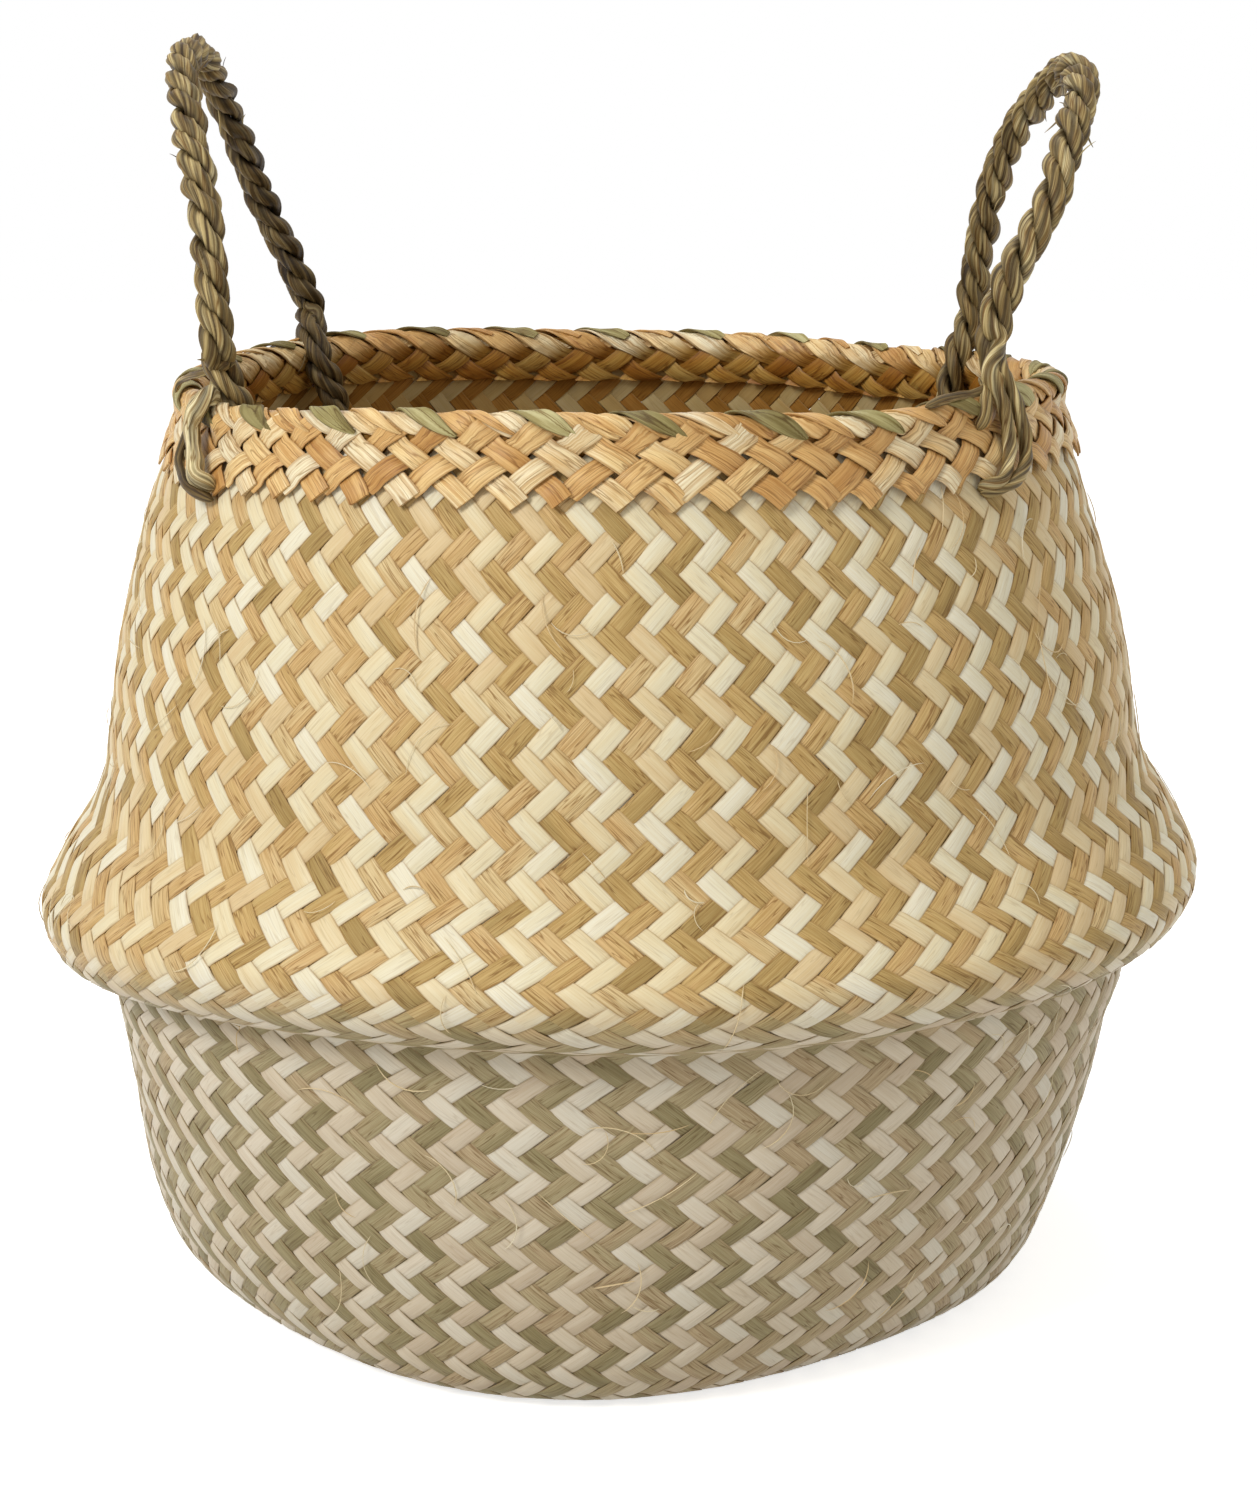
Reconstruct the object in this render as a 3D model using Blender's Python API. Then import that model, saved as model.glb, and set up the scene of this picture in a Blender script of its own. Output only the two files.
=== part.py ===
"""Belly basket of plaited seagrass: a bowl, a folded belly, a neck and a bound rim, with two rope handles.

Metres, +Z up. The origin is the centre of the base, on the surface that the basket stands on.
"""

import math

import bmesh
import bpy
from mathutils import Matrix, Vector

MM = 0.001

# Walls: radii and heights are those of the middle of the plait
WALL = 2.4 * MM
SEAT_GAP = 0.3 * MM
BASE_RADIUS = 113.0 * MM
TURN_RADIUS = 133.3 * MM
WAIST_RADIUS = 150.6 * MM
BELLY_RADIUS = 172.0 * MM
SHOULDER_RADIUS = 150.6 * MM
NECK_RADIUS = 137.2 * MM
MOUTH_RADIUS = 126.5 * MM
TURN_HEIGHT = 17.1 * MM
WAIST_HEIGHT = 107.0 * MM
SHOULDER_HEIGHT = 165.0 * MM
WALL_TOP = 262.8 * MM
WALL_SEGMENTS = 44

# Base: a square mat whose corners fade into the round bowl
CORNER_SHARE = 0.035
CORNER_AZIMUTH = math.radians(-97.0)
CORNER_FADE_HEIGHT = 55.0 * MM

# Sag: the fold hangs lower at the left than at the front, and the wall above it swells to the right
CREASE_RISE = 4.0 * MM
CREASE_FALL = 14.5 * MM
CREASE_SPREAD = 26.0 * MM
CREASE_HEIGHT_SHARE = 0.26
SIDE_SWELL = 6.5 * MM

# Border: a band of plait below the rim on both faces of the wall
BORDER = 2.2 * MM
BORDER_DEPTH = 15.3 * MM
TOOTH_COUNT = 58
TOOTH_DEPTH = 3.5 * MM

# Rim: a rolled edge with a strip wound round it
ROLL_RADIUS = 3.1 * MM
ROLL_SIDES = 8
WINDER_TURNS = 29
WINDER_SIDES = 7
WINDER_WIDTH = 5.5 * MM
WINDER_THICKNESS = 0.7 * MM

# Handles: three-ply ropes on lashings that pass through an eyelet at each foot
HANDLE_AZIMUTHS = {"right": math.radians(-2.5), "left": math.radians(173.5)}
HALF_SPANS = {"right": 66.5 * MM, "left": 73.5 * MM}
HANDLE_BOWS = {"right": 24.5 * MM, "left": 22.5 * MM}
HANDLE_RISES = {"right": 77.5 * MM, "left": 80.5 * MM}
ARCH_POINT_SHARES = {"right": 1.3, "left": 1.6}
PLY_COUNT = 3
PLY_RADIUS = 2.1 * MM
PLY_ORBIT = 2.95 * MM
ROPE_LAY = 27.0 * MM
STATIONS_PER_TURN = 6
FINE_STEPS = 240
ROPE_END_STEPS = 3
ROPE_END_SHARE = 0.95
LASHING_RADIUS = 1.9 * MM
LASHING_BEND = 3.0 * MM
LASHING_TURNS = 2
EYELET_CLEARANCE = 0.5 * MM
EYELET_MARGIN = 1.6 * MM
EYELET_SILL = 6.0 * MM
EYELET_SIDES = 12
EYELET_OVERRUN = 4.0 * MM

# Outlines as (radius share, height share) of each stretch of the wall, from its lower end up
TURN_SHARES = ((0.0, 0.0), (0.315, 0.03), (0.57, 0.20), (0.78, 0.50), (1.0, 1.0))
BOWL_SHARES = ((0.0, 0.0), (0.41, 0.224), (0.763, 0.553), (1.0, 1.0))
BELLY_SHARES = (
    (0.0, 0.0), (0.36, 0.045), (0.70, 0.11), (0.94, 0.21), (1.0, 0.31),
    (0.88, 0.42), (0.55, 0.58), (0.18, 0.79), (0.0, 1.0),
)
NECK_SHARES = ((0.0, 0.0), (0.13, 0.22), (0.50, 0.60), (1.0, 1.0))
COLLAR_SHARES = ((0.0, 0.0), (0.36, 0.42), (1.0, 1.0))

# The swell as (height share from the crease to the top of the neck, share of its greatest size)
SWELL_SHARES = ((0.03, 0.0), (0.14, 0.65), (0.25, 1.0), (0.38, 0.56), (0.75, 0.43), (1.0, 0.0))

ROPE_RADIUS = PLY_ORBIT + PLY_RADIUS
WINDER_INNER = ROLL_RADIUS / math.cos(math.pi / WINDER_SIDES) + SEAT_GAP
WINDER_OUTER = WINDER_INNER + WINDER_THICKNESS
ROLL_HEIGHT = WALL_TOP + SEAT_GAP + WINDER_OUTER

# A lashing goes from below the roll inside, over it, to below the roll outside
LASHING_FROM = math.radians(200.0)
LASHING_TO = math.radians(-20.0)
LASHING_STEPS = 6
LASHING_SAG = math.cos((LASHING_FROM - LASHING_TO) / LASHING_STEPS / 2)
LASHING_ORBIT = (WINDER_OUTER + SEAT_GAP + LASHING_RADIUS) / LASHING_SAG
PIVOT_HEIGHT = ROLL_HEIGHT + LASHING_ORBIT + LASHING_RADIUS + SEAT_GAP + ROPE_RADIUS

EYELET_HALF_HEIGHT = LASHING_RADIUS + EYELET_CLEARANCE
EYELET_HALF_WIDTH = 2 * LASHING_RADIUS + EYELET_CLEARANCE
EYELET_HEIGHT = WALL_TOP - BORDER_DEPTH - TOOTH_DEPTH - EYELET_MARGIN - EYELET_HALF_HEIGHT
NECK_HEIGHT = EYELET_HEIGHT - EYELET_SILL
CREASE_HEIGHT = WAIST_HEIGHT + CREASE_HEIGHT_SHARE * (SHOULDER_HEIGHT - WAIST_HEIGHT)

COLOURS = {
    "pale_plait": (0.70, 0.57, 0.36),
    "grey_plait": (0.52, 0.44, 0.32),
    "brown_plait": (0.60, 0.38, 0.18),
    "green_strip": (0.33, 0.31, 0.15),
    "rope": (0.29, 0.22, 0.13),
}
FINISH = {"Roughness": 0.62, "Metallic": 0.0}
SMOOTH_BELOW = math.radians(40.0)


def clear_scene():
    for obj in list(bpy.data.objects):
        bpy.data.objects.remove(obj)


def new_material(name):
    """One dry, matt finish for each kind of strip."""
    made = bpy.data.materials.get(name)
    if made is None:
        made = bpy.data.materials.new(name)
        made.use_nodes = True
        shader = made.node_tree.nodes["Principled BSDF"]
        shader.inputs["Base Color"].default_value = (*COLOURS[name], 1.0)
        for socket, value in FINISH.items():
            shader.inputs[socket].default_value = value
    return made


def add_object(name, data, parent=None):
    obj = bpy.data.objects.new(name, data)
    bpy.context.scene.collection.objects.link(obj)
    obj.parent = parent
    return obj


def add_mesh(name, bm, finish, parent=None):
    """The bmesh as a named object with its faces pointing out."""
    bmesh.ops.recalc_face_normals(bm, faces=bm.faces)
    mesh = bpy.data.meshes.new(name)
    bm.to_mesh(mesh)
    bm.free()
    mesh.shade_smooth()
    mesh.set_sharp_from_angle(angle=SMOOTH_BELOW)
    mesh.materials.append(new_material(finish))
    return add_object(name, mesh, parent)


def add_strand(name, line, radius, parent, scales=None):
    """A round strand along a list of points, with capped ends. Scales narrow it point by point."""
    curve = bpy.data.curves.new(name, "CURVE")
    curve.dimensions = "3D"
    curve.bevel_depth = radius
    curve.bevel_resolution = 1
    curve.use_fill_caps = True
    curve.materials.append(new_material("rope"))
    spline = curve.splines.new("POLY")
    spline.points.add(len(line) - 1)
    for i, place in enumerate(line):
        spline.points[i].co = (*place, 1.0)
        if scales:
            spline.points[i].radius = scales[i]
    spline.use_smooth = True
    return add_object(name, curve, parent)


def stretch(shares, low, high):
    """Outline points between two (radius, height) ends."""
    return [
        (low[0] + across * (high[0] - low[0]), low[1] + up * (high[1] - low[1]))
        for across, up in shares
    ]


def swell(shares, low, high, widest):
    """Outline points that bulge from the straight line between two ends out to the widest radius."""
    points = []
    for across, up in shares:
        straight = low[0] + up * (high[0] - low[0])
        points.append((straight + across * (widest - straight), low[1] + up * (high[1] - low[1])))
    return points


def wall_stretches():
    """The middle line of the whole wall, cut into its five pieces. Neighbours share an end point."""
    base = (BASE_RADIUS, WALL / 2)
    turn = (TURN_RADIUS, TURN_HEIGHT)
    waist = (WAIST_RADIUS, WAIST_HEIGHT)
    shoulder = (SHOULDER_RADIUS, SHOULDER_HEIGHT)
    neck = (NECK_RADIUS, NECK_HEIGHT)
    top = (MOUTH_RADIUS, WALL_TOP)
    return {
        "turn": stretch(TURN_SHARES, base, turn),
        "bowl": stretch(BOWL_SHARES, turn, waist),
        "belly": swell(BELLY_SHARES, waist, shoulder, BELLY_RADIUS),
        "neck": stretch(NECK_SHARES, shoulder, neck),
        "collar": stretch(COLLAR_SHARES, neck, top),
    }


def wall_line(name):
    """One stretch as (point, outward normal) pairs. Normals at a seam are those of the whole wall."""
    whole, first, last = [], 0, 0
    for key, points in wall_stretches().items():
        start = max(len(whole) - 1, 0)
        whole = whole[:start] + [Vector(p) for p in points]
        if key == name:
            first, last = start, len(whole) - 1
    pairs = []
    for i in range(first, last + 1):
        along = (whole[min(i + 1, len(whole) - 1)] - whole[max(i - 1, 0)]).normalized()
        pairs.append((whole[i], Vector((along.y, -along.x))))
    return pairs


def offset_line(pairs, distance):
    return [point + normal * distance for point, normal in pairs]


def trimmed(pairs, from_low, from_high):
    """The same line with its ends drawn in along it, which leaves a gap at a seam."""
    points = [point.copy() for point, _ in pairs]
    points[0] += (pairs[1][0] - pairs[0][0]).normalized() * from_low
    points[-1] += (pairs[-2][0] - pairs[-1][0]).normalized() * from_high
    return [(point, normal) for point, (_, normal) in zip(points, pairs)]


def shell_section(pairs, thickness):
    """The closed outline of a wall of this thickness round its middle line."""
    return offset_line(pairs, thickness / 2) + offset_line(pairs, -thickness / 2)[::-1]


def radius_at(line, height):
    """The radius of a rising line at one height, carried on straight past its ends."""
    low, high = line[0], line[1]
    for i in range(1, len(line) - 1):
        if line[i].y <= height:
            low, high = line[i], line[i + 1]
    share = (height - low.y) / (high.y - low.y)
    return low.x + share * (high.x - low.x)


def clipped(line, low, high):
    """The part of a rising line between two heights."""
    inside = [p for p in line if low + SEAT_GAP < p.y < high - SEAT_GAP]
    return [Vector((radius_at(line, low), low)), *inside, Vector((radius_at(line, high), high))]


def revolved(section, segments=WALL_SEGMENTS):
    """A closed (radius, height) outline spun a full turn about Z."""
    bm = bmesh.new()
    ring = [bm.verts.new((p[0], 0.0, p[1])) for p in section]
    edges = [bm.edges.new((ring[i - 1], ring[i])) for i in range(len(ring))]
    bmesh.ops.spin(
        bm, geom=ring + edges, cent=(0, 0, 0), axis=(0, 0, 1),
        angle=2 * math.pi, steps=segments, use_merge=True,
    )
    return bm


def square_off(bm):
    """Pushes the foot of the basket out at four corners and in between them, less and less with height."""
    for v in bm.verts:
        fade = max(0.0, 1.0 - v.co.z / CORNER_FADE_HEIGHT) ** 2
        swing = 4 * (math.atan2(v.co.y, v.co.x) - CORNER_AZIMUTH)
        factor = 1.0 + CORNER_SHARE * fade * math.cos(swing)
        v.co.x *= factor
        v.co.y *= factor


def table_value(pairs, place):
    """The value at one place in (place, value) pairs, straight between them and level past the ends."""
    if place <= pairs[0][0]:
        return pairs[0][1]
    for (low, first), (high, second) in zip(pairs, pairs[1:]):
        if place <= high:
            return first + (second - first) * (place - low) / (high - low)
    return pairs[-1][1]


def settle(bm):
    """Raises or lowers the fold by its side of the basket, and swells the wall above it to the right."""
    for v in bm.verts:
        radius = math.hypot(v.co.x, v.co.y)
        rightness = v.co.x / radius
        share = (v.co.z - CREASE_HEIGHT) / (NECK_HEIGHT - CREASE_HEIGHT)
        bulge = SIDE_SWELL * table_value(SWELL_SHARES, share) * max(0.0, rightness) ** 2
        nearness = math.exp(-(((v.co.z - CREASE_HEIGHT) / CREASE_SPREAD) ** 2))
        v.co.x *= (radius + bulge) / radius
        v.co.y *= (radius + bulge) / radius
        v.co.z += (CREASE_RISE - CREASE_FALL * max(0.0, -rightness) ** 3) * nearness


def build_base():
    """The flat mat that the bowl's wall turns up from."""
    bm = bmesh.new()
    radius = BASE_RADIUS - SEAT_GAP
    bmesh.ops.create_cone(
        bm, cap_ends=True, cap_tris=False, segments=WALL_SEGMENTS,
        radius1=radius, radius2=radius, depth=WALL,
        matrix=Matrix.Translation((0, 0, WALL / 2)),
    )
    square_off(bm)
    add_mesh("base_mat", bm, "grey_plait")


def build_turn():
    """The rounded edge where the strips of the base turn up into the wall."""
    bm = revolved(shell_section(wall_line("turn"), WALL))
    square_off(bm)
    add_mesh("bowl_turn", bm, "grey_plait")


def build_bowl():
    """The lower wall, from the turned-up edge of the base to the waist under the belly."""
    bm = revolved(shell_section(trimmed(wall_line("bowl"), SEAT_GAP, SEAT_GAP), WALL))
    square_off(bm)
    settle(bm)
    add_mesh("bowl_wall", bm, "grey_plait")


def build_belly():
    """The fold: out over the waist, round the crease and back in to the shoulder."""
    bm = revolved(shell_section(wall_line("belly"), WALL))
    settle(bm)
    add_mesh("belly_fold", bm, "pale_plait")


def build_neck():
    """The soft part of the upper wall, which rolls inwards when the rim is pushed down."""
    bm = revolved(shell_section(trimmed(wall_line("neck"), SEAT_GAP, SEAT_GAP), WALL))
    settle(bm)
    add_mesh("neck_wall", bm, "pale_plait")


def chord_distance(side):
    """How far a handle's two feet lie from the middle of the basket, square to the line between them."""
    return math.sqrt(MOUTH_RADIUS ** 2 - HALF_SPANS[side] ** 2)


def foot_azimuths():
    """The four feet as {(side, end): azimuth}, two to a handle."""
    feet = {}
    for side, centre in HANDLE_AZIMUTHS.items():
        half_angle = math.asin(HALF_SPANS[side] / MOUTH_RADIUS)
        front = -1 if math.cos(centre) > 0 else 1
        feet[(side, "front")] = centre + front * half_angle
        feet[(side, "back")] = centre - front * half_angle
    return feet


def cut_eyelets(wall, parent):
    """An oval hole at each foot, wide enough for a strand that crosses it on the slant."""
    radius = radius_at([point for point, _ in wall_line("collar")], EYELET_HEIGHT)
    for (side, end), azimuth in foot_azimuths().items():
        bm = bmesh.new()
        bmesh.ops.create_cone(
            bm, cap_ends=True, segments=EYELET_SIDES, radius1=EYELET_HALF_HEIGHT,
            radius2=EYELET_HALF_HEIGHT, depth=WALL + 2 * EYELET_OVERRUN,
            matrix=Matrix.Rotation(math.pi / 2, 4, "Y"),
        )
        bmesh.ops.scale(bm, vec=(1, EYELET_HALF_WIDTH / EYELET_HALF_HEIGHT, 1), verts=bm.verts)
        bmesh.ops.translate(bm, vec=(radius, 0, EYELET_HEIGHT), verts=bm.verts)
        cutter = add_mesh(f"eyelet_cutter_{side}_{end}", bm, "brown_plait", parent)
        cutter.rotation_euler.z = azimuth
        cutter.hide_render = True
        cutter.display_type = "WIRE"
        cut = wall.modifiers.new(f"eyelet_{side}_{end}", "BOOLEAN")
        cut.operation = "DIFFERENCE"
        cut.object = cutter


def build_collar(parent):
    """The stiff top of the wall, with the eyelets below the border."""
    bm = revolved(shell_section(wall_line("collar"), WALL), 2 * TOOTH_COUNT)
    cut_eyelets(add_mesh("collar_wall", bm, "brown_plait", parent), parent)


def build_border(name, face, parent):
    """A band of crossed strips outside the wall (face 1) or inside it (face -1).

    Every second column of its lower edge reaches down as a tooth.
    """
    pairs = wall_line("collar")
    aside = face * (WALL / 2 + SEAT_GAP + BORDER / 2)
    near = offset_line(pairs, aside - BORDER / 2)
    far = offset_line(pairs, aside + BORDER / 2)
    low, tip = WALL_TOP - BORDER_DEPTH, WALL_TOP - BORDER_DEPTH - TOOTH_DEPTH
    high = min(WALL_TOP, near[-1].y, far[-1].y)
    section = clipped(far, low, high) + clipped(near, low, high)[::-1]
    bm = revolved(section, 2 * TOOTH_COUNT)
    far_step = radius_at(far, tip) - radius_at(far, low)
    near_step = radius_at(near, tip) - radius_at(near, low)
    middle = (radius_at(far, low) + radius_at(near, low)) / 2
    for v in bm.verts:
        column = round(math.atan2(v.co.y, v.co.x) * TOOTH_COUNT / math.pi)
        if v.co.z > low + SEAT_GAP or column % 2 == 0:
            continue
        radius = math.hypot(v.co.x, v.co.y)
        step = far_step if radius > middle else near_step
        v.co.x *= (radius + step) / radius
        v.co.y *= (radius + step) / radius
        v.co.z = tip
    add_mesh(name, bm, "brown_plait", parent)


def build_roll(parent):
    """The rolled edge that closes the top of the wall."""
    section = []
    for i in range(ROLL_SIDES):
        angle = 2 * math.pi * (i + 0.5) / ROLL_SIDES
        out, up = ROLL_RADIUS * math.cos(angle), ROLL_RADIUS * math.sin(angle)
        section.append((MOUTH_RADIUS + out, ROLL_HEIGHT + up))
    add_mesh("rim_roll", revolved(section), "brown_plait", parent)


def winder_corner(azimuth, roll, distance):
    out = MOUTH_RADIUS + distance * math.cos(roll)
    up = ROLL_HEIGHT + distance * math.sin(roll)
    return (out * math.cos(azimuth), out * math.sin(azimuth), up)


def build_winder(parent):
    """One flat strip wound round the roll like a screw thread, a full turn of the rim long."""
    bm = bmesh.new()
    half_width = WINDER_WIDTH / (2 * MOUTH_RADIUS)
    steps = WINDER_TURNS * WINDER_SIDES
    reach = 2 * math.pi - 2 * half_width - SEAT_GAP / MOUTH_RADIUS
    rings = []
    for i in range(steps + 1):
        azimuth = reach * i / steps
        roll = -2 * math.pi * i / WINDER_SIDES
        corners = (
            (azimuth - half_width, WINDER_INNER), (azimuth + half_width, WINDER_INNER),
            (azimuth + half_width, WINDER_OUTER), (azimuth - half_width, WINDER_OUTER),
        )
        rings.append([bm.verts.new(winder_corner(a, roll, d)) for a, d in corners])
    for first, second in zip(rings, rings[1:]):
        for j in range(len(first)):
            k = (j + 1) % len(first)
            bm.faces.new((first[j], first[k], second[k], second[j]))
    bm.faces.new(rings[0][::-1])
    bm.faces.new(rings[-1])
    add_mesh("rim_winder", bm, "green_strip", parent)


def quarter_bend(corner_out, corner_up, heading):
    """Three points round a quarter circle that starts upright and ends level, heading in (-1) or out (1)."""
    points = []
    for turn in (0.0, math.pi / 4, math.pi / 2):
        out = corner_out + heading * LASHING_BEND * (1 - math.cos(turn))
        points.append(Vector((out, corner_up + LASHING_BEND * (1 - math.sin(turn)))))
    return points


def lashing_line():
    """A strand wound twice round the rim.

    Each turn goes up inside, over the roll and down outside, and in again at the eyelet.
    """
    aside = WALL / 2 + 2 * SEAT_GAP + BORDER + LASHING_RADIUS
    low = EYELET_HEIGHT + LASHING_BEND
    high = WALL_TOP - LASHING_RADIUS
    outside = clipped(offset_line(wall_line("collar"), aside), low, high)
    inside = clipped(offset_line(wall_line("collar"), -aside), low, high)
    over = []
    for i in range(LASHING_STEPS + 1):
        roll = LASHING_FROM + (LASHING_TO - LASHING_FROM) * i / LASHING_STEPS
        out, up = LASHING_ORBIT * math.cos(roll), LASHING_ORBIT * math.sin(roll)
        over.append(Vector((MOUTH_RADIUS + out, ROLL_HEIGHT + up)))
    leaving = quarter_bend(outside[0].x, EYELET_HEIGHT, -1)[1:]
    arriving = quarter_bend(inside[0].x, EYELET_HEIGHT, 1)[:0:-1]
    turn = inside + over + outside[::-1]
    line = []
    for i in range(LASHING_TURNS):
        shift = (i - (LASHING_TURNS - 1) / 2) * (2 * LASHING_RADIUS + SEAT_GAP)
        route = (arriving if i > 0 else []) + turn + (leaving if i < LASHING_TURNS - 1 else [])
        line += [(p.x, shift, p.y) for p in route]
    return line


def build_lashings(parent):
    for (side, end), azimuth in foot_azimuths().items():
        lashing = add_strand(f"{side}_{end}_lashing", lashing_line(), LASHING_RADIUS, parent)
        lashing.rotation_euler.z = azimuth


def rope_axis(side, t):
    """The middle of a handle, from one pivot (t 0) to the other (t 1): an arch that bows outwards."""
    angle = math.pi * t
    rise = max(math.sin(angle), 0.0)
    return Vector((
        HANDLE_BOWS[side] * rise ** 2,
        -HALF_SPANS[side] * math.cos(angle),
        HANDLE_RISES[side] * rise ** ARCH_POINT_SHARES[side],
    ))


def rope_stations(side):
    """Evenly spaced (place, direction, distance) along the rope, read from a finer line."""
    places = [rope_axis(side, i / FINE_STEPS) for i in range(FINE_STEPS + 1)]
    lengths = [0.0]
    for first, second in zip(places, places[1:]):
        lengths.append(lengths[-1] + (second - first).length)
    count = round(lengths[-1] / ROPE_LAY * STATIONS_PER_TURN)
    stations, i = [], 0
    for k in range(count + 1):
        target = lengths[-1] * k / count
        while i < FINE_STEPS - 1 and lengths[i + 1] < target:
            i += 1
        share = (target - lengths[i]) / (lengths[i + 1] - lengths[i])
        direction = (places[i + 1] - places[i]).normalized()
        stations.append((places[i].lerp(places[i + 1], share), direction, target))
    return stations


def rounded_ends(stations):
    """Adds stations past both pivots, where the rope narrows to a ball.

    Each station is (place, direction, distance, scale).
    """
    head, tail = [], []
    first, last = stations[0], stations[-1]
    for i in range(1, ROPE_END_STEPS + 1):
        share = ROPE_END_SHARE * math.sin(math.pi / 2 * i / ROPE_END_STEPS)
        beyond = share * ROPE_RADIUS
        scale = math.sqrt(1 - share * share)
        head.insert(0, (first[0] - first[1] * beyond, first[1], first[2] - beyond, scale))
        tail.append((last[0] + last[1] * beyond, last[1], last[2] + beyond, scale))
    return head + [(*station, 1.0) for station in stations] + tail


def build_handle(side, rim):
    """Three plies laid left-handed round each other. The empty stands midway between the two pivots."""
    axis = add_object(f"{side}_handle_axis", None, rim)
    centre = HANDLE_AZIMUTHS[side]
    distance = chord_distance(side)
    axis.location = (distance * math.cos(centre), distance * math.sin(centre), PIVOT_HEIGHT)
    axis.rotation_euler.z = centre
    outward = Vector((1, 0, 0))
    stations = rounded_ends(rope_stations(side))
    for ply in range(PLY_COUNT):
        line, scales = [], []
        for place, direction, distance, scale in stations:
            across = (outward - direction * outward.dot(direction)).normalized()
            beside = direction.cross(across)
            turn = 2 * math.pi * (ply / PLY_COUNT - distance / ROPE_LAY)
            swing = across * math.cos(turn) + beside * math.sin(turn)
            line.append(place + swing * PLY_ORBIT * scale)
            scales.append(scale)
        add_strand(f"{side}_handle_ply_{ply + 1}", line, PLY_RADIUS, axis, scales)


def build_rim():
    """All that sinks into the belly in one piece when the rim is pushed down along Z."""
    rim = add_object("rim_axis", None)
    build_collar(rim)
    build_border("outer_border", 1, rim)
    build_border("inner_border", -1, rim)
    build_roll(rim)
    build_winder(rim)
    build_lashings(rim)
    for side in HANDLE_AZIMUTHS:
        build_handle(side, rim)


def main():
    clear_scene()
    build_base()
    build_turn()
    build_bowl()
    build_belly()
    build_neck()
    build_rim()


main()
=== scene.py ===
"""Plaited seagrass belly basket with two rope handles, dressed over its frame. Metres, +Z up."""

import math

import bpy
import numpy as np
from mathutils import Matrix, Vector


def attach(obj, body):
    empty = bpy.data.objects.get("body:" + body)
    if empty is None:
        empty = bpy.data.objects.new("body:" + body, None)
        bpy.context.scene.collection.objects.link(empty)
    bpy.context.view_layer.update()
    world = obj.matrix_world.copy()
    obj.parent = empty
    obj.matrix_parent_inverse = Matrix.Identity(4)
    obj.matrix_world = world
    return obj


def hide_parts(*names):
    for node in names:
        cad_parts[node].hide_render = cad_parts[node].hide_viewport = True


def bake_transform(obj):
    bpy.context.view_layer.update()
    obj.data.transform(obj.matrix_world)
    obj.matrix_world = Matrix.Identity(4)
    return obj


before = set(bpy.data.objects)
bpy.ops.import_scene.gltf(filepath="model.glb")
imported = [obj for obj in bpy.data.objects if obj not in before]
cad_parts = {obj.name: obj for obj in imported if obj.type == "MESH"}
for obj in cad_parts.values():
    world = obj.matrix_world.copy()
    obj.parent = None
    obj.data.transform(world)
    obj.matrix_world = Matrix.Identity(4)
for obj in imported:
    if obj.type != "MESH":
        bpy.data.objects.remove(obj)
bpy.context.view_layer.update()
MM = 0.001


# ---- Camera, floor and lamps ----
# The basket stands on a plain white floor, seen with a long lens from a little above the
# handles' height. A large soft lamp stands to the left, a weaker one to the right.

CAMERA_PLACE = (0.0026, -0.870, 0.3539)
CAMERA_PITCH = math.radians(12.82)
CAMERA_LENS = 70.48
SENSOR_WIDTH = 36.0
VIEW_DEPTH = 20.0
FLOOR_HALF = 4.0
FLOOR_LEVEL = -0.2 * MM
FLOOR_WHITE = (0.86, 0.86, 0.85, 1.0)
FLOOR_GLOW = 0.70
ROOM_LIGHT = 0.42
LAMPS = (
    # name, place, aim, size, watts, colour
    ("left_lamp", (-1.25, -1.25, 1.45), (0.0, 0.0, 0.17), 0.8, 26.5, (1.0, 0.995, 0.985)),
    ("right_lamp", (1.5, -1.0, 0.9), (0.0, 0.0, 0.15), 1.0, 4.2, (1.0, 0.965, 0.88)),
    ("top_lamp", (0.0, 0.3, 2.0), (0.0, 0.0, 0.2), 1.2, 10.5, (1.0, 1.0, 1.0)),
)


def put(tree, kind, feeds=(), **settings):
    """One shader node: its settings, then feeds as (socket, value or another node's output)."""
    made = tree.nodes.new(kind)
    for key, value in settings.items():
        setattr(made, key, value)
    for socket, feed in feeds:
        if isinstance(feed, bpy.types.NodeSocket):
            tree.links.new(feed, made.inputs[socket])
        else:
            made.inputs[socket].default_value = feed
    return made


def stand(name, data):
    """A named object of the data, put in the scene."""
    made = bpy.data.objects.new(name, data)
    bpy.context.scene.collection.objects.link(made)
    return made


def seen_white(tree):
    """1 for a ray that comes from the camera, a reflection or glass, else 0."""
    path = put(tree, "ShaderNodeLightPath").outputs
    seen = path["Is Camera Ray"]
    for other in ("Is Glossy Ray", "Is Transmission Ray"):
        seen = put(tree, "ShaderNodeMath", [(0, seen), (1, path[other])],
                   operation="MAXIMUM").outputs[0]
    return seen


def set_camera():
    """A camera in front of the basket that looks down on it by the pitch."""
    lens = bpy.data.cameras.new("view")
    lens.lens = CAMERA_LENS
    lens.sensor_width = SENSOR_WIDTH
    lens.sensor_fit = "AUTO"
    lens.clip_end = VIEW_DEPTH
    camera = stand("view", lens)
    camera.location = CAMERA_PLACE
    camera.rotation_euler = (math.pi / 2 - CAMERA_PITCH, 0.0, 0.0)
    bpy.context.scene.camera = camera


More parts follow.
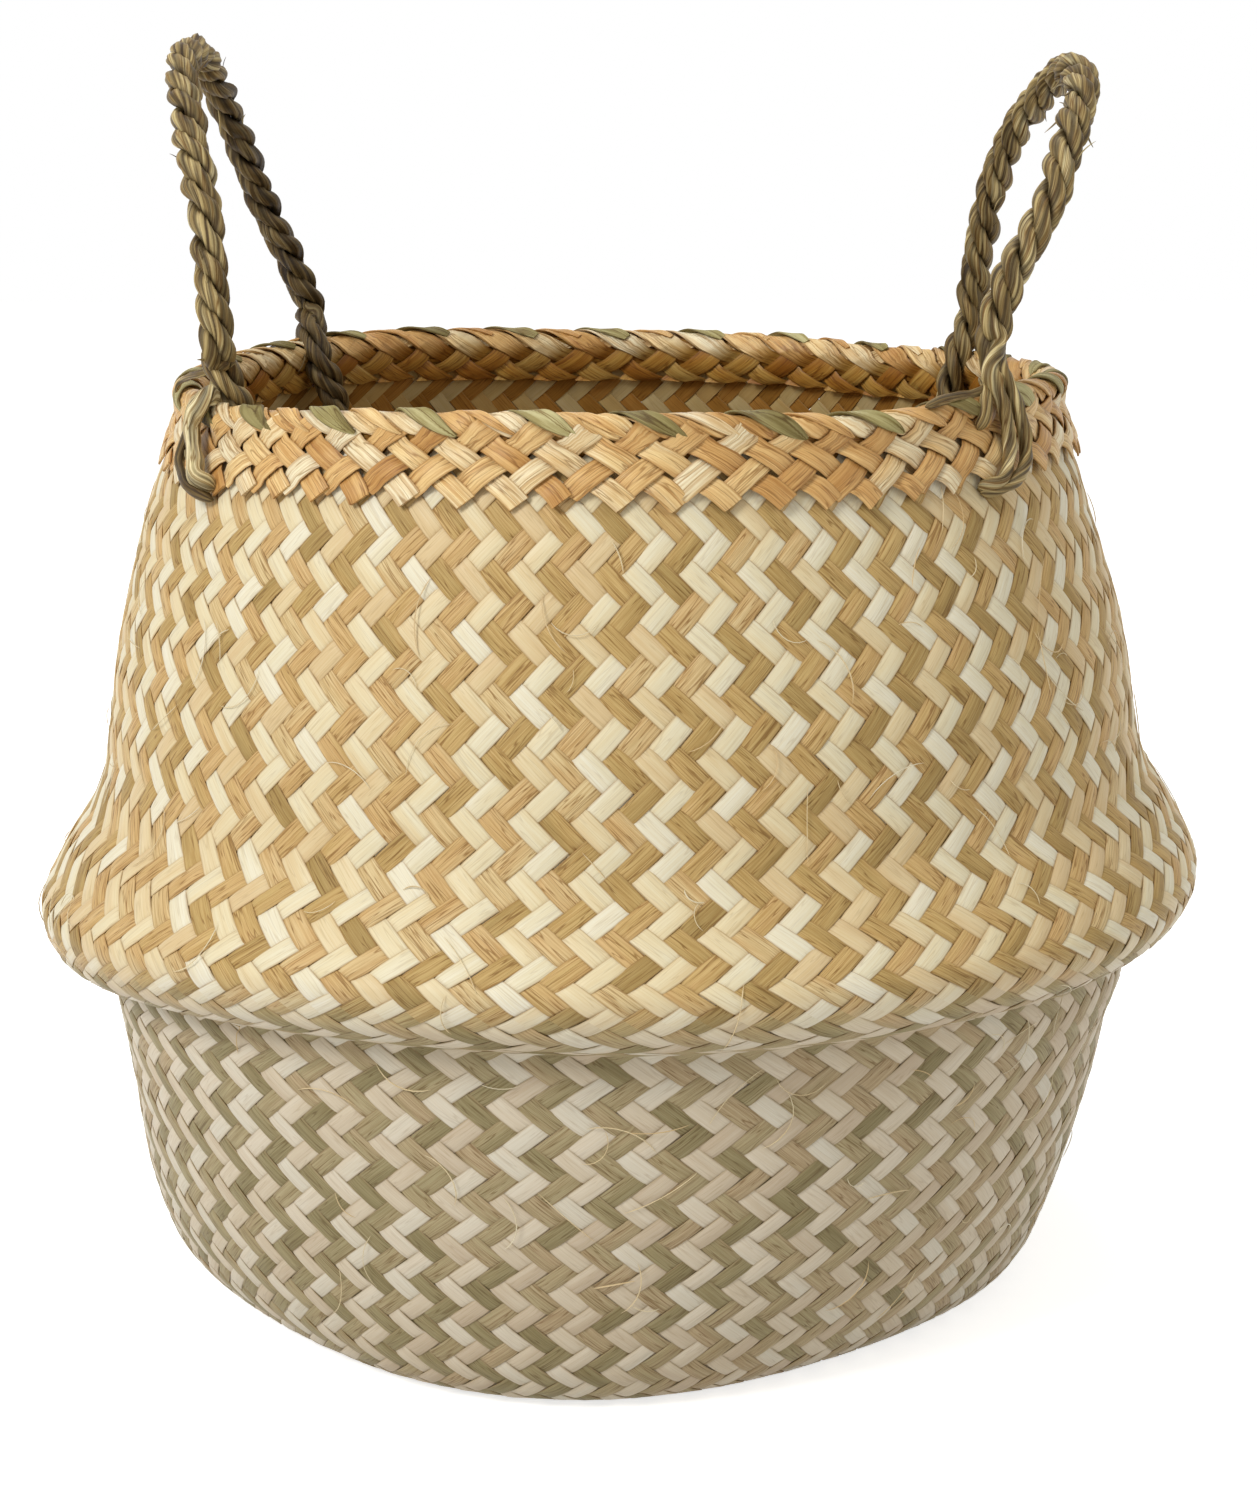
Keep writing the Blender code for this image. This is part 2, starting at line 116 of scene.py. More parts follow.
def lay_floor():
    """A square that takes the shadow by diffuse light and adds a glow where it is seen."""
    mesh = bpy.data.meshes.new("floor")
    corners = [(-1, -1), (1, -1), (1, 1), (-1, 1)]
    mesh.from_pydata([(x * FLOOR_HALF, y * FLOOR_HALF, FLOOR_LEVEL) for x, y in corners], [],
                     [(0, 1, 2, 3)])
    paint = bpy.data.materials.new("white_floor")
    paint.use_nodes = True
    tree = paint.node_tree
    tree.nodes.clear()
    matt = put(tree, "ShaderNodeBsdfDiffuse", [("Color", FLOOR_WHITE)])
    glow_level = put(tree, "ShaderNodeMath", [(0, seen_white(tree)), (1, FLOOR_GLOW)],
                     operation="MULTIPLY")
    glow = put(tree, "ShaderNodeEmission", [("Strength", glow_level.outputs[0])])
    both = put(tree, "ShaderNodeAddShader", [(0, matt.outputs[0]), (1, glow.outputs[0])])
    put(tree, "ShaderNodeOutputMaterial", [("Surface", both.outputs[0])])
    mesh.materials.append(paint)
    floor = stand("floor", mesh)


def light_room():
    """An even white room, plain white where it is seen, and the soft lamps."""
    world = bpy.data.worlds.new("white_room")
    bpy.context.scene.world = world
    world.use_nodes = True
    tree = world.node_tree
    tree.nodes.clear()
    level = put(tree, "ShaderNodeMapRange", [("Value", seen_white(tree)), ("To Min", ROOM_LIGHT),
                                             ("To Max", 1.0)])
    room = put(tree, "ShaderNodeBackground", [("Color", (1.0, 1.0, 1.0, 1.0)),
                                              ("Strength", level.outputs[0])])
    put(tree, "ShaderNodeOutputWorld", [("Surface", room.outputs[0])])
    for name, place, aim, size, watts, colour in LAMPS:
        lamp = bpy.data.lights.new(name, "AREA")
        lamp.shape = "DISK"
        lamp.size = size
        lamp.energy = watts
        lamp.color = colour
        hung = stand(name, lamp)
        hung.location = place
        hung.rotation_euler = (Vector(aim) - Vector(place)).to_track_quat("-Z", "Y").to_euler()
    bpy.context.scene.view_settings.view_transform = "Standard"


set_camera()
lay_floor()
light_room()


# ---- Base mat ----
# The flat bottom is plaited first: two families of split seagrass strips, each over two and
# under two, laid corner to corner of a square whose corners are rounded off.

BASE_RADIUS = 113.0 * MM
CORNER_SHARE = 0.035
CORNER_AZIMUTH = math.radians(-97.0)
CORNER_FADE_HEIGHT = 55.0 * MM
BASE_LEAN = -6.0 * MM
LEAN_TOP = 107.0 * MM
BASE_UNIT = 3.2 * MM
BASE_LEVEL = 1.25 * MM
BASE_WIDTH = 0.96
BASE_LIFT_SHARE = 0.75
BASE_MARK = 2.0 * MM
BASE_MARGIN = 1.05
FEWEST_SAMPLES = 8
STRIP_THICKNESS = 0.55 * MM
STRIP_LIFT = 0.42 * MM
STRIP_TIGHTNESS = 2.6
CELL_SAMPLES = np.array([0.0, 0.33, 0.5, 0.67])
SAMPLE_GAP = 0.05
# Points round a strip as (across, up) shares of its half width and thickness
STRIP_ROUND = np.array([(-1.0, 0.1), (-0.84, 0.5), (0.84, 0.5), (1.0, 0.1), (0.92, -0.5),
                        (-0.92, -0.5)])
SHARP_FLAT = 50.0
SHARP_ROUND = 75.0

# Where the fibres, the cracks and a strip's edge come in, by noise or by distance across, and how
# strongly; how far a strip's tone moves its noise; and how deep the fibres are
FIBRE_BAND = (0.60, 0.40)
CRACK_BAND = (0.006, 0.032)
CRACK_STRETCH = (0.6, 0.36)
EDGE_BAND = (0.80, 1.0)
EDGE_SHARE = 0.75
NOISE_ROUGHNESS = 0.65
TONE_SHIFT = (71.0, 37.0, 53.0)
FIBRE_RELIEF = 0.3 * MM

# Lower wall tones, greyer and duller than the upper wall's: partly the strips' own tone, partly
# painted shade under the fold
BOWL_PALE = ((0.59, 0.49, 0.365), (0.675, 0.59, 0.455), (0.73, 0.655, 0.53), (0.715, 0.67, 0.56))
BOWL_DARK = ((0.26, 0.225, 0.11), (0.35, 0.305, 0.165), (0.44, 0.37, 0.215), (0.505, 0.395, 0.245))
# Edge tone: partly the strips' own darker edges, partly painted shade in the gaps and crevices
# between them
BOWL_EDGE_AND_CREVICE_SHADE = (0.33, 0.24, 0.13)
CRACK_TONE = (0.36, 0.24, 0.11)
# Tint of the strips' inner faces: partly the leaf's duller back, partly painted shade inside the
# basket
PALE_BACK_AND_INSIDE_SHADE = (1.0, 0.93, 0.68)
DARK_BACK_AND_INSIDE_SHADE = (0.86, 0.64, 0.32)
# Tone of the upper wall over that of the lower one, which meet half way at the crease; the lower
# wall's tones are partly painted shade under the fold
PALE_TONE_AND_SHADE_STEP = (1.17, 1.15, 0.96)
DARK_TONE_AND_SHADE_STEP = (1.46, 1.24, 0.90)


def eased(share):
    """A smooth step: 3 s squared less 2 s cubed, held to 0 and 1 outside."""
    share = np.clip(share, 0, 1)
    return share * share * (3 - 2 * share)


def over_under(row):
    """Height over two rows and under two: a cosine of period four, flattened by tanh."""
    swing = -np.cos(np.pi * (row - 0.5) / 2)
    return np.tanh(STRIP_TIGHTNESS * swing) / math.tanh(STRIP_TIGHTNESS)


def rows_between(low, high):
    """Four samples to a cell from one row number to another, with both ends kept."""
    cells = np.arange(math.floor(low), math.ceil(high) + 1)
    rows = (cells[:, None] + CELL_SAMPLES).ravel()
    kept = (rows > low + SAMPLE_GAP) & (rows < high - SAMPLE_GAP)
    return np.concatenate([[low], rows[kept], [high]])


def corner_factor(azimuth, height):
    """1 plus a four-fold cosine that is greatest at the base and gone at the fade height."""
    fade = np.clip(1 - height / CORNER_FADE_HEIGHT, 0, None) ** 2
    return 1 + CORNER_SHARE * fade * np.cos(4 * (azimuth - CORNER_AZIMUTH))


def side_lean(height):
    """How far the wall stands to one side: the base's lean, less a smooth step with height."""
    return BASE_LEAN * (1 - eased(height / LEAN_TOP))


def leaf_finish(name, tones, edge_and_shade_tone, streak, streak_share=0.7, bump=0.5, rough=0.55, gloss=0.2,
                scale=(70.0, 2200.0), cracks=0.6, inside=(0.64, 0.48, 0.20),
                drift=(26.0, 160.0, 1.1), meets=(1.0, 1.0, 1.0)):
    """Dried leaf: one tone to a strip, fibres along it, a slow drift, and edges of another tone.

    The fibres are noise stretched along the strip's own UV, moved on by the strip's tone so that
    no two strips share them. They multiply the tone by the streak colour, and lift the surface a
    little. Fine cracks are the lines where a wider noise is one half. The edge tone is partly the
    strip's own edge and partly painted shade, in the gaps, crevices and grooves that the edge
    attribute marks. By the inner attribute the inside of the basket is darker and browner: partly
    the leaf's duller back, partly painted shade inside the basket. The near attribute tints the
    leaf towards the one that it meets, which softens the step at the crease, itself partly painted
    shade under the fold.
    """
    paint = bpy.data.materials.new(name)
    paint.use_nodes = True
    tree = paint.node_tree
    shader = tree.nodes["Principled BSDF"]
    tone, edge, inner, near = (put(tree, "ShaderNodeAttribute", attribute_name=kind).outputs["Fac"]
                               for kind in ("tone", "edge", "inner", "near"))
    flat = put(tree, "ShaderNodeUVMap", uv_map="strip").outputs[0]
    apart = put(tree, "ShaderNodeVectorMath", [(0, TONE_SHIFT), ("Scale", tone)],
                operation="SCALE").outputs[0]

    def noise(along, across, detail):
        """Noise of the strip's UV, stretched by its two scales."""
        spread = put(tree, "ShaderNodeVectorMath", [(0, flat), (1, (along, across, 1.0)),
                                                    (2, apart)], operation="MULTIPLY_ADD")
        return put(tree, "ShaderNodeTexNoise", [("Vector", spread.outputs[0]), ("Scale", 1.0),
                                                ("Detail", detail),
                                                ("Roughness", NOISE_ROUGHNESS)]).outputs[0]

    def worked(kind, *values, clamp=False):
        """One step of arithmetic on the values."""
        return put(tree, "ShaderNodeMath", enumerate(values), operation=kind,
                   use_clamp=clamp).outputs[0]

    def ranged(value, band, low, high):
        """The value carried from its band to low and high, and held to them outside it."""
        return put(tree, "ShaderNodeMapRange", [("Value", value), ("From Min", band[0]),
                                                ("From Max", band[1]), ("To Min", low),
                                                ("To Max", high)]).outputs[0]

    def tinted(blend, share, under, over):
        """The colour under, blended with the one over it by a share."""
        return put(tree, "ShaderNodeMix", [(0, share), (6, under), (7, (*over, 1.0))],
                   data_type="RGBA", blend_type=blend).outputs[2]

    fibres = noise(*scale, 5.0)
    spot = worked("MULTIPLY_ADD", noise(*drift[:2], 2.0), drift[2], -drift[2] / 2)
    ramp = put(tree, "ShaderNodeValToRGB", [(0, worked("ADD", tone, spot, clamp=True))])
    stops = ramp.color_ramp.elements
    stops[0].color = (*tones[0], 1.0)
    stops[1].color = (*tones[-1], 1.0)
    for i, colour in enumerate(tones[1:-1], 1):
        stops.new(i / (len(tones) - 1)).color = (*colour, 1.0)
    wide = noise(CRACK_STRETCH[0] * scale[0], CRACK_STRETCH[1] * scale[1], 1.0)
    off_half = worked("ABSOLUTE", worked("SUBTRACT", wide, 0.5))
    whole = ramp.outputs[0]
    # Fibres and cracks are the leaf's own; the edge tone and the wall's inside and crease tints
    # are partly painted shade
    for blend, share, over in (
            ("MULTIPLY", ranged(fibres, FIBRE_BAND, 0.0, streak_share), streak),
            ("MULTIPLY", ranged(off_half, CRACK_BAND, cracks, 0.0), CRACK_TONE),
            ("MIX", ranged(edge, EDGE_BAND, 0.0, EDGE_SHARE), edge_and_shade_tone),
            ("MULTIPLY", inner, inside), ("MULTIPLY", near, meets)):
        whole = tinted(blend, share, whole, over)
    tree.links.new(whole, shader.inputs["Base Color"])
    lift = put(tree, "ShaderNodeBump", [("Strength", bump), ("Distance", FIBRE_RELIEF),
                                        ("Height", fibres)])
    tree.links.new(lift.outputs[0], shader.inputs["Normal"])
    shader.inputs["Roughness"].default_value = rough
    shader.inputs["Specular IOR Level"].default_value = gloss
    return paint


def strip_marks(along, half_width, inner, near=0.0):
    """Distances along and across, nearness to the edge, and the inside and meeting shares."""
    side = STRIP_ROUND[:, 0]
    even = 0 * (along[:, None] + side)
    return np.stack([along[:, None] + even, side * half_width + even, np.abs(side) + even,
                     inner + even, near + even], axis=-1)


def shape_piece(name, strips, paint, sharp_above=SHARP_FLAT):
    """Joins closed strips into one object.

    A strip is (places, marks, tone): places has one row of points for each station along it, and
    marks five values for each point, which become the UV and the edge, inner and near attributes.
    Four-sided faces join each station to the next and each point to the next one round, and a flat
    face closes each end.
    """
    places, marks, tones, loops, sizes, first = [], [], [], [], [], 0
    for place, mark, tone in strips:
        number = first + np.arange(place.shape[0] * place.shape[1]).reshape(place.shape[:2])
        beside = np.roll(number, -1, axis=1)
        quads = np.stack([number[:-1], number[1:], beside[1:], beside[:-1]], axis=-1)
        loops += [quads.ravel(), number[0], number[-1][::-1]]
        sizes += [np.full(quads.size // 4, 4), [number.shape[1]] * 2]
        places.append(place.reshape(-1, 3))
        marks.append(mark.reshape(places[-1].shape[0], -1))
        tones.append(np.full(number.size, tone))
        first += number.size
    places, marks, tones = np.vstack(places), np.vstack(marks), np.concatenate(tones)
    loops, sizes = np.concatenate(loops), np.concatenate(sizes)
    mesh = bpy.data.meshes.new(name)
    mesh.vertices.add(first)
    mesh.vertices.foreach_set("co", places.ravel())
    mesh.loops.add(loops.size)
    mesh.loops.foreach_set("vertex_index", loops)
    mesh.polygons.add(sizes.size)
    mesh.polygons.foreach_set("loop_start", np.concatenate([[0], np.cumsum(sizes)[:-1]]))
    mesh.update(calc_edges=True)
    for kind, values in zip(("tone", "edge", "inner", "near"), (tones, *marks[:, 2:].T)):
        mesh.attributes.new(kind, "FLOAT", "POINT").data.foreach_set("value", values.copy())
    mesh.uv_layers.new(name="strip").data.foreach_set("uv", marks[loops, :2].ravel())
    mesh.shade_smooth()
    mesh.set_sharp_from_angle(angle=math.radians(sharp_above))
    mesh.materials.append(paint)
    piece = stand(name, mesh)
    return piece


def base_strips(chance):
    """Strips of both families on a flat lattice, cut where they leave the rounded square."""
    turn = CORNER_AZIMUTH - math.pi / 4
    reach = int(BASE_RADIUS * BASE_MARGIN / BASE_UNIT) + 1
    strips = []
    for family in (1, -1):
        for number in range(-reach, reach + 1):
            rows = rows_between(-2.0 * reach, 2.0 * reach)
            across = 2 * number - family * rows
            azimuth = np.arctan2(rows, across)
            edge = BASE_RADIUS * corner_factor(azimuth + turn, 0.0)
            rows = rows[np.hypot(rows, across) * BASE_UNIT < edge]
            if rows.size < FEWEST_SAMPLES:
                continue
            rows = rows[::-family]
            w = STRIP_ROUND[:, 0] * BASE_WIDTH
            x = (2 * number - family * rows[:, None] + family * w / 2) * BASE_UNIT
            y = (rows[:, None] + w / 2) * BASE_UNIT
            z = (family * over_under(rows)[:, None] * STRIP_LIFT * BASE_LIFT_SHARE
                 + STRIP_ROUND[:, 1] * STRIP_THICKNESS + BASE_LEVEL)
            places = np.stack([x * math.cos(turn) - y * math.sin(turn) + BASE_LEAN,
                               x * math.sin(turn) + y * math.cos(turn), z + 0 * x], axis=-1)
            marks = strip_marks(rows * BASE_UNIT * math.sqrt(2), BASE_MARK, 0.0)
            strips.append((places, marks, chance.random()))
    return strips


bowl_light = leaf_finish("bowl_leaf_light", BOWL_PALE, BOWL_EDGE_AND_CREVICE_SHADE, (0.86, 0.80, 0.70), 0.45,
                         bump=0.2, cracks=0.2, inside=PALE_BACK_AND_INSIDE_SHADE, meets=PALE_TONE_AND_SHADE_STEP)
base_piece = shape_piece("base_plait", base_strips(np.random.default_rng(11)), bowl_light)
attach(base_piece, "lower_body")
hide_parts("base_mat")


# ---- Lower wall ----
# The strips of the base turn up and run on slantwise round the wall, half of them rising to the
# right and half to the left, pale and darker ones by turns, so that the floats make zigzags.

# Middle line of the wall as (radius, height) in mm, from the base to the waist under the fold
BOWL_OUTLINE = ((109, 1.2), (113, 1.2), (119.4, 1.7), (124.6, 4.4), (128.8, 9.1),
                (133.3, 17.1), (140.4, 37.2), (146.5, 66.8), (150.6, 107))
# and on round the fold's crease, in to the shoulder and up to the rim
TOP_OUTLINE = ((150.6, 107), (157.7, 109.7), (163.5, 112.1), (168.6, 116.3), (171.8, 122.3),
               (171.4, 127.6), (168, 132.8), (164, 138.3), (159.1, 144.7), (155, 150.4),
               (151.9, 157.6), (150.8, 165), (149.3, 174.8), (146.8, 192.7), (141.3, 217.6),
               (135.8, 239.5), (128.8, 258), (126.5, 262.8))
SPAN_STEPS = 16
STRIP_COUNT = 116
# Height of a row in mm, and how much wider the strips stand in front, by height on the wall
ROW_SIZES = ((0, 3.4), (60, 3.4), (107, 3.2), (122, 3.65), (165, 3.92), (262.8, 3.92))
FRONT_SPREAD = ((0, 0), (50, 0.02), (90, 0.07), (107, 0.06), (128, -0.035),
                (165, -0.02), (262.8, -0.03))
# Swell of the wall to the right and left, in mm by height: the basket isn't quite round
RIGHT_SWELL = ((84, 0), (94, 2.8), (107, 2.2), (117, 1), (125, 0.6), (138, 4.2),
               (150, 6.5), (165, 3.6), (206, 2.8), (234, 0))
LEFT_SWELL = ((60, 0), (75, 1.2), (84, 2.4), (95, 3.4), (107, 3.4), (113, 2.6),
              (118, 1), (124, 1.2), (132, 3.4), (140, 3.2), (150, 2), (158, 1.6),
              (235, 1.4), (262, 0))
# The weave's own drift up and round the wall, by height: rows, and thousandths of a radian
ROW_DRIFT = ((0, -1.4), (96, -1.4), (131, 0.45), (158, -0.26), (197, -0.39),
             (262.8, -0.39))
TURN_DRIFT = ((0, 5), (60, 5), (96, -3), (131, 13), (158, 23), (187, 27),
              (197, 21), (212, 14), (226, 7), (262.8, 0))
MILLIRADIAN = 0.001
# Height of the rim over its level, in mm by azimuth in degrees, and its share by height
RIM_RISE = ((-180, -2), (-165, -3), (-150, -4.2), (-138, -3.2), (-128, -1.6), (-118, -0.6),
            (-105, 0), (-75, -0.2), (-62, -1.8), (-54, -1.6), (-45, 0.3), (-36, 1.8),
            (-20, 1.5), (-5, -0.5), (20, -1), (40, -1.5), (50, -2), (62, -0.3), (100, 0.4),
            (112, 1.4), (125, 2.4), (140, 2.2), (155, 0.3), (170, -1.2))
RISE_SHARES = ((200, 0), (215, 0.2), (232, 0.8), (246, 1))
STRIP_WIDTHS = {1: 1.03, -1: 1.0}
STRIP_MARK = 2.9 * MM
WALL_TRIM = 0.6
# How far a strip wanders: in width, to its side, in its lift and in its tilt
WIDTH_WANDER = 0.03
SIDE_WANDER = 0.035
LIFT_WANDER = 0.12
TILT_WANDER = 0.10 * MM
TILT_RATE = 3.1
WANDER_ROWS = (4.0, 17.0)
ANY_PHASE = 6.3
# Painted shade where a strip dives under another: how near the edge it is marked there, less a
# share where it is seen
DIVE_SHADE_MARK = 0.87
DIVE_FADE = 0.1
DIVE_SHARE = 0.5
# The crease: its height, how far up and down its hang spreads, its rise all round, its falls at
# the left and right, and the rows over which the two tones meet, the lower one partly painted
# shade
CREASE_HEIGHT = 122.0 * MM
CREASE_SPREAD = 26.0 * MM
CREASE_RISE = 4.0 * MM
CREASE_FALL = 16.3 * MM
CREASE_DROP = 1.8 * MM
CREASE_ROWS = 2.6
CREASE_BELOW = 1.2
HALF_WAY = 0.5


def smooth_line(points):
    """A Catmull-Rom curve: each span meets its ends along the line of their neighbours."""
    p = np.vstack([2 * points[0] - points[1], points, 2 * points[-1] - points[-2]])
    before, start, end, after = p[:-3, None], p[1:-2, None], p[2:-1, None], p[3:, None]
    t = np.linspace(0, 1, SPAN_STEPS, endpoint=False)[:, None]
    spans = 0.5 * (2 * start + (end - before) * t
                   + (2 * before - 5 * start + 4 * end - after) * t**2
                   + (3 * start - before - 3 * end + after) * t**3)
    return np.vstack([spans.reshape(-1, points.shape[1]), points[-1:]])


def distance_along(line):
    """Running length of a line of points, zero at its first."""
    return np.concatenate([[0.0], np.cumsum(np.linalg.norm(np.diff(line, axis=0), axis=1))])


def unit(vectors):
    """Each vector over its own length."""
    return vectors / np.linalg.norm(vectors, axis=1)[:, None]


def across_line(distance, run, line, slope):
    """Radius, height and the normal's two shares at a distance along a line of points."""
    return (np.interp(distance, run, values) for values in (*line.T, slope[:, 1], -slope[:, 0]))


def round_axis(radius, azimuth, height, aside=0.0):
    """Places from radius, azimuth and height by cosine and sine, with a step to the side."""
    return np.stack([radius * np.cos(azimuth) + aside, radius * np.sin(azimuth), height], axis=-1)


def by_height(height, table):
    """A value read from (height in mm, value) pairs, straight between them."""
    heights, values = np.array(table).T
    return np.interp(height / MM, heights, values)


def rim_rise(azimuth):
    """Height of the uneven rim over its level, straight between the table's azimuths."""
    degrees, rises = np.array(RIM_RISE).T
    return np.interp(np.degrees(azimuth), degrees, rises, period=360.0) * MM


wall_line = np.vstack([smooth_line(np.array(BOWL_OUTLINE) * MM)[:-1],
                       smooth_line(np.array(TOP_OUTLINE) * MM)])
wall_run = distance_along(wall_line)
wall_slope = unit(np.gradient(wall_line, wall_run, axis=0))
row_size = by_height(wall_line[:, 1], ROW_SIZES) * MM
row_steps = np.diff(wall_run) * 2 / (row_size[1:] + row_size[:-1])
wall_rows = np.concatenate([[0.0], np.cumsum(row_steps)]) + by_height(wall_line[:, 1], ROW_DRIFT)
crease_row = wall_rows[np.argmax(wall_line[:, 0])] - CREASE_BELOW


def on_wall(column, row, proud):
    """Place on the wall from lattice column and row, and a distance out along its normal.

    The row gives the point on the middle line, the column the azimuth. The foot is squared off
    and leans, and the rim is uneven. The sides swell by the cosine of the azimuth squared. The
    crease hangs by the cosine cubed, most at the left, and fades up and down like a bell curve.
    """
    run = np.interp(row, wall_rows, wall_run)
    radius, height, over, up = across_line(run, wall_run, wall_line, wall_slope)
    azimuth = column * np.pi / STRIP_COUNT - np.pi / 2
    azimuth = (azimuth + by_height(height, FRONT_SPREAD) * np.cos(azimuth)
               + by_height(height, TURN_DRIFT) * MILLIRADIAN)
    radius = (radius + proud * over) * corner_factor(azimuth, height)
    right, left = np.clip(np.cos(azimuth), 0, None), np.clip(-np.cos(azimuth), 0, None)
    radius = radius + by_height(height, RIGHT_SWELL) * MM * right**2
    radius = radius + by_height(height, LEFT_SWELL) * MM * left**2
    hang = CREASE_RISE - CREASE_FALL * left**3 - CREASE_DROP * right**3
    hang = hang * np.exp(-((height - CREASE_HEIGHT) / CREASE_SPREAD) ** 2)
    hang = hang + rim_rise(azimuth) * by_height(height, RISE_SHARES)
    return round_axis(radius, azimuth, height + proud * up + hang, side_lean(height))


def wander(chance, rows, size):
    """A slow drift along a strip: three sines of random length and phase."""
    lengths = chance.uniform(*WANDER_ROWS, 3)
    waves = sum(np.sin(rows / length + chance.uniform(0, ANY_PHASE)) for length in lengths)
    return size * waves / 2


def wall_strips(family, pale, low, high):
    """Every second strip of one family between two rows, woven over two and under two.

    The draws depend on the family and the shade only, so a strip that is cut at a row goes on from
    there in the next piece. Where a strip dives under another, it has a little of the edge's tone
    as painted shade.
    """
    chance = np.random.default_rng(20 + family + 5 * pale)
    numbers = np.arange(0, STRIP_COUNT, 2) + int((family > 0) != pale)
    strips = []
    for number in numbers:
        rows = rows_between(low, high)[::-family][:, None]
        width = STRIP_WIDTHS[family] + wander(chance, rows, WIDTH_WANDER)
        w = STRIP_ROUND[:, 0] * width
        shift = wander(chance, rows, SIDE_WANDER)
        column = 2 * number - family * rows + family * (w / 2 + shift)
        lift = family * over_under(rows) * STRIP_LIFT * (1 + wander(chance, rows, LIFT_WANDER))
        tilt = wander(chance, rows * TILT_RATE, TILT_WANDER) * STRIP_ROUND[:, 0]
        proud = lift + tilt + STRIP_ROUND[:, 1] * STRIP_THICKNESS
        row = rows + w / 2 + shift
        places = on_wall(column, row, proud)
        # Nearness to the crease, where the lower wall's tones, partly painted shade, meet the
        # upper wall's
        near = HALF_WAY * np.clip(1 - np.abs(row - crease_row) / CREASE_ROWS, 0, None)
        # The strips' inner faces are marked for the inside tint, which is partly painted shade
        marks = strip_marks(distance_along(places[:, 0]), STRIP_MARK, STRIP_ROUND[:, 1] < 0, near)
        # Painted shade where the strip dives under another: its edge mark is raised there
        seen = np.sign(STRIP_ROUND[:, 1]) * family * over_under(rows)
        dive_shade = DIVE_SHADE_MARK * (1 - DIVE_FADE * np.clip(seen / DIVE_SHARE, 0, 1))
        marks[..., 2] = np.maximum(marks[..., 2], dive_shade)
        strips.append((places, marks, chance.random()))
    return strips


bowl_dark = leaf_finish("bowl_leaf_dark", BOWL_DARK, BOWL_EDGE_AND_CREVICE_SHADE, (0.62, 0.54, 0.42), cracks=0.7,
                        inside=DARK_BACK_AND_INSIDE_SHADE, meets=DARK_TONE_AND_SHADE_STEP)
for family, way in ((1, "falling"), (-1, "rising")):
    for pale, shade, paint in ((True, "light", bowl_light), (False, "dark", bowl_dark)):
        strips = wall_strips(family, pale, wall_rows[0] + WALL_TRIM, crease_row)
        piece = shape_piece(f"bowl_{way}_{shade}", strips, paint)
        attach(piece, "lower_body")
        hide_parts("bowl_wall", "bowl_turn")


# ---- Fold and upper wall ----
# From the crease of the belly the same strips go on up to the rim. Up here they are ivory and
# golden tan, lighter and warmer than below the crease, where their tones are partly painted shade
# under the fold. The wall bends inwards when the rim is pushed down.

TOP_PALE = ((0.73, 0.57, 0.33), (0.79, 0.66, 0.41), (0.83, 0.74, 0.50), (0.83, 0.78, 0.58),
            (0.87, 0.835, 0.67))
TOP_DARK = ((0.42, 0.30, 0.11), (0.54, 0.385, 0.15), (0.64, 0.455, 0.19), (0.70, 0.485, 0.225),
            (0.76, 0.605, 0.33))
# Edge tone: partly the strips' own darker edges, partly painted shade in the gaps and crevices
# between them
TOP_EDGE_AND_CREVICE_SHADE = (0.36, 0.21, 0.075)

top_light = leaf_finish("top_leaf_light", TOP_PALE, TOP_EDGE_AND_CREVICE_SHADE, (0.88, 0.80, 0.64), 0.45, bump=0.2,
                        rough=0.45, cracks=0.2, inside=PALE_BACK_AND_INSIDE_SHADE,
                        meets=tuple(1 / share for share in PALE_TONE_AND_SHADE_STEP))
top_dark = leaf_finish("top_leaf_dark", TOP_DARK, TOP_EDGE_AND_CREVICE_SHADE, (0.66, 0.54, 0.38), cracks=0.75,
                       inside=DARK_BACK_AND_INSIDE_SHADE, meets=tuple(1 / share for share in DARK_TONE_AND_SHADE_STEP))
for family, way in ((1, "falling"), (-1, "rising")):
    for pale, shade, paint in ((True, "light", top_light), (False, "dark", top_dark)):
        strips = wall_strips(family, pale, crease_row, wall_rows[-1] - WALL_TRIM)
        piece = shape_piece(f"wall_{way}_{shade}", strips, paint)
        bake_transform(piece)
        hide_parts("belly_fold", "neck_wall", "collar_wall")


# ---- Border ----
# The ends of the strips are turned over the rim and plaited down again on both faces with wide
# tan strips, over one and under one. Below, their cut ends stand out as a row of teeth.

BORDER_COUNT = 58
BORDER_ROW = 4.85 * MM
FIRST_ROW = -0.9
RISING_ROW = -0.05
FALLING_PAST = 0.30
RISING_PAST = 0.25
BORDER_FOOT = 246.6 * MM
INSIDE_FOOT = 253.8 * MM
BORDER_ASIDE = 2.6 * MM
BORDER_LIFT = 0.7 * MM
BORDER_THICKNESS = 0.7 * MM
BORDER_TIGHTNESS = 2.2
BORDER_MARK = 3.2 * MM
BORDER_SHEAR = 0.12
BORDER_SPREAD = -0.05
ROLL_PLACE = np.array([126.5, 268.0]) * MM
ROLL_REACH = 3.4 * MM
ROLL_FROM = math.radians(-42.0)
ROLL_TO = math.radians(222.0)
ROLL_LIFTS = {1: 0.2 * MM, -1: -0.7 * MM}
ROLL_SHINGLE = 0.45 * MM
ROLL_STEPS = 40
# Rows over which the over and under gives way to the roll: where that starts, and how long it is
ROLL_EASE = (0.15, 0.6)
ROLL_LAP = 0.75
LINE_STEP = 4
LINE_TRIM = 6
FALLING_WIDTH = 0.82
RISING_WIDTH = 0.74
ROLL_WIDTH = 0.98
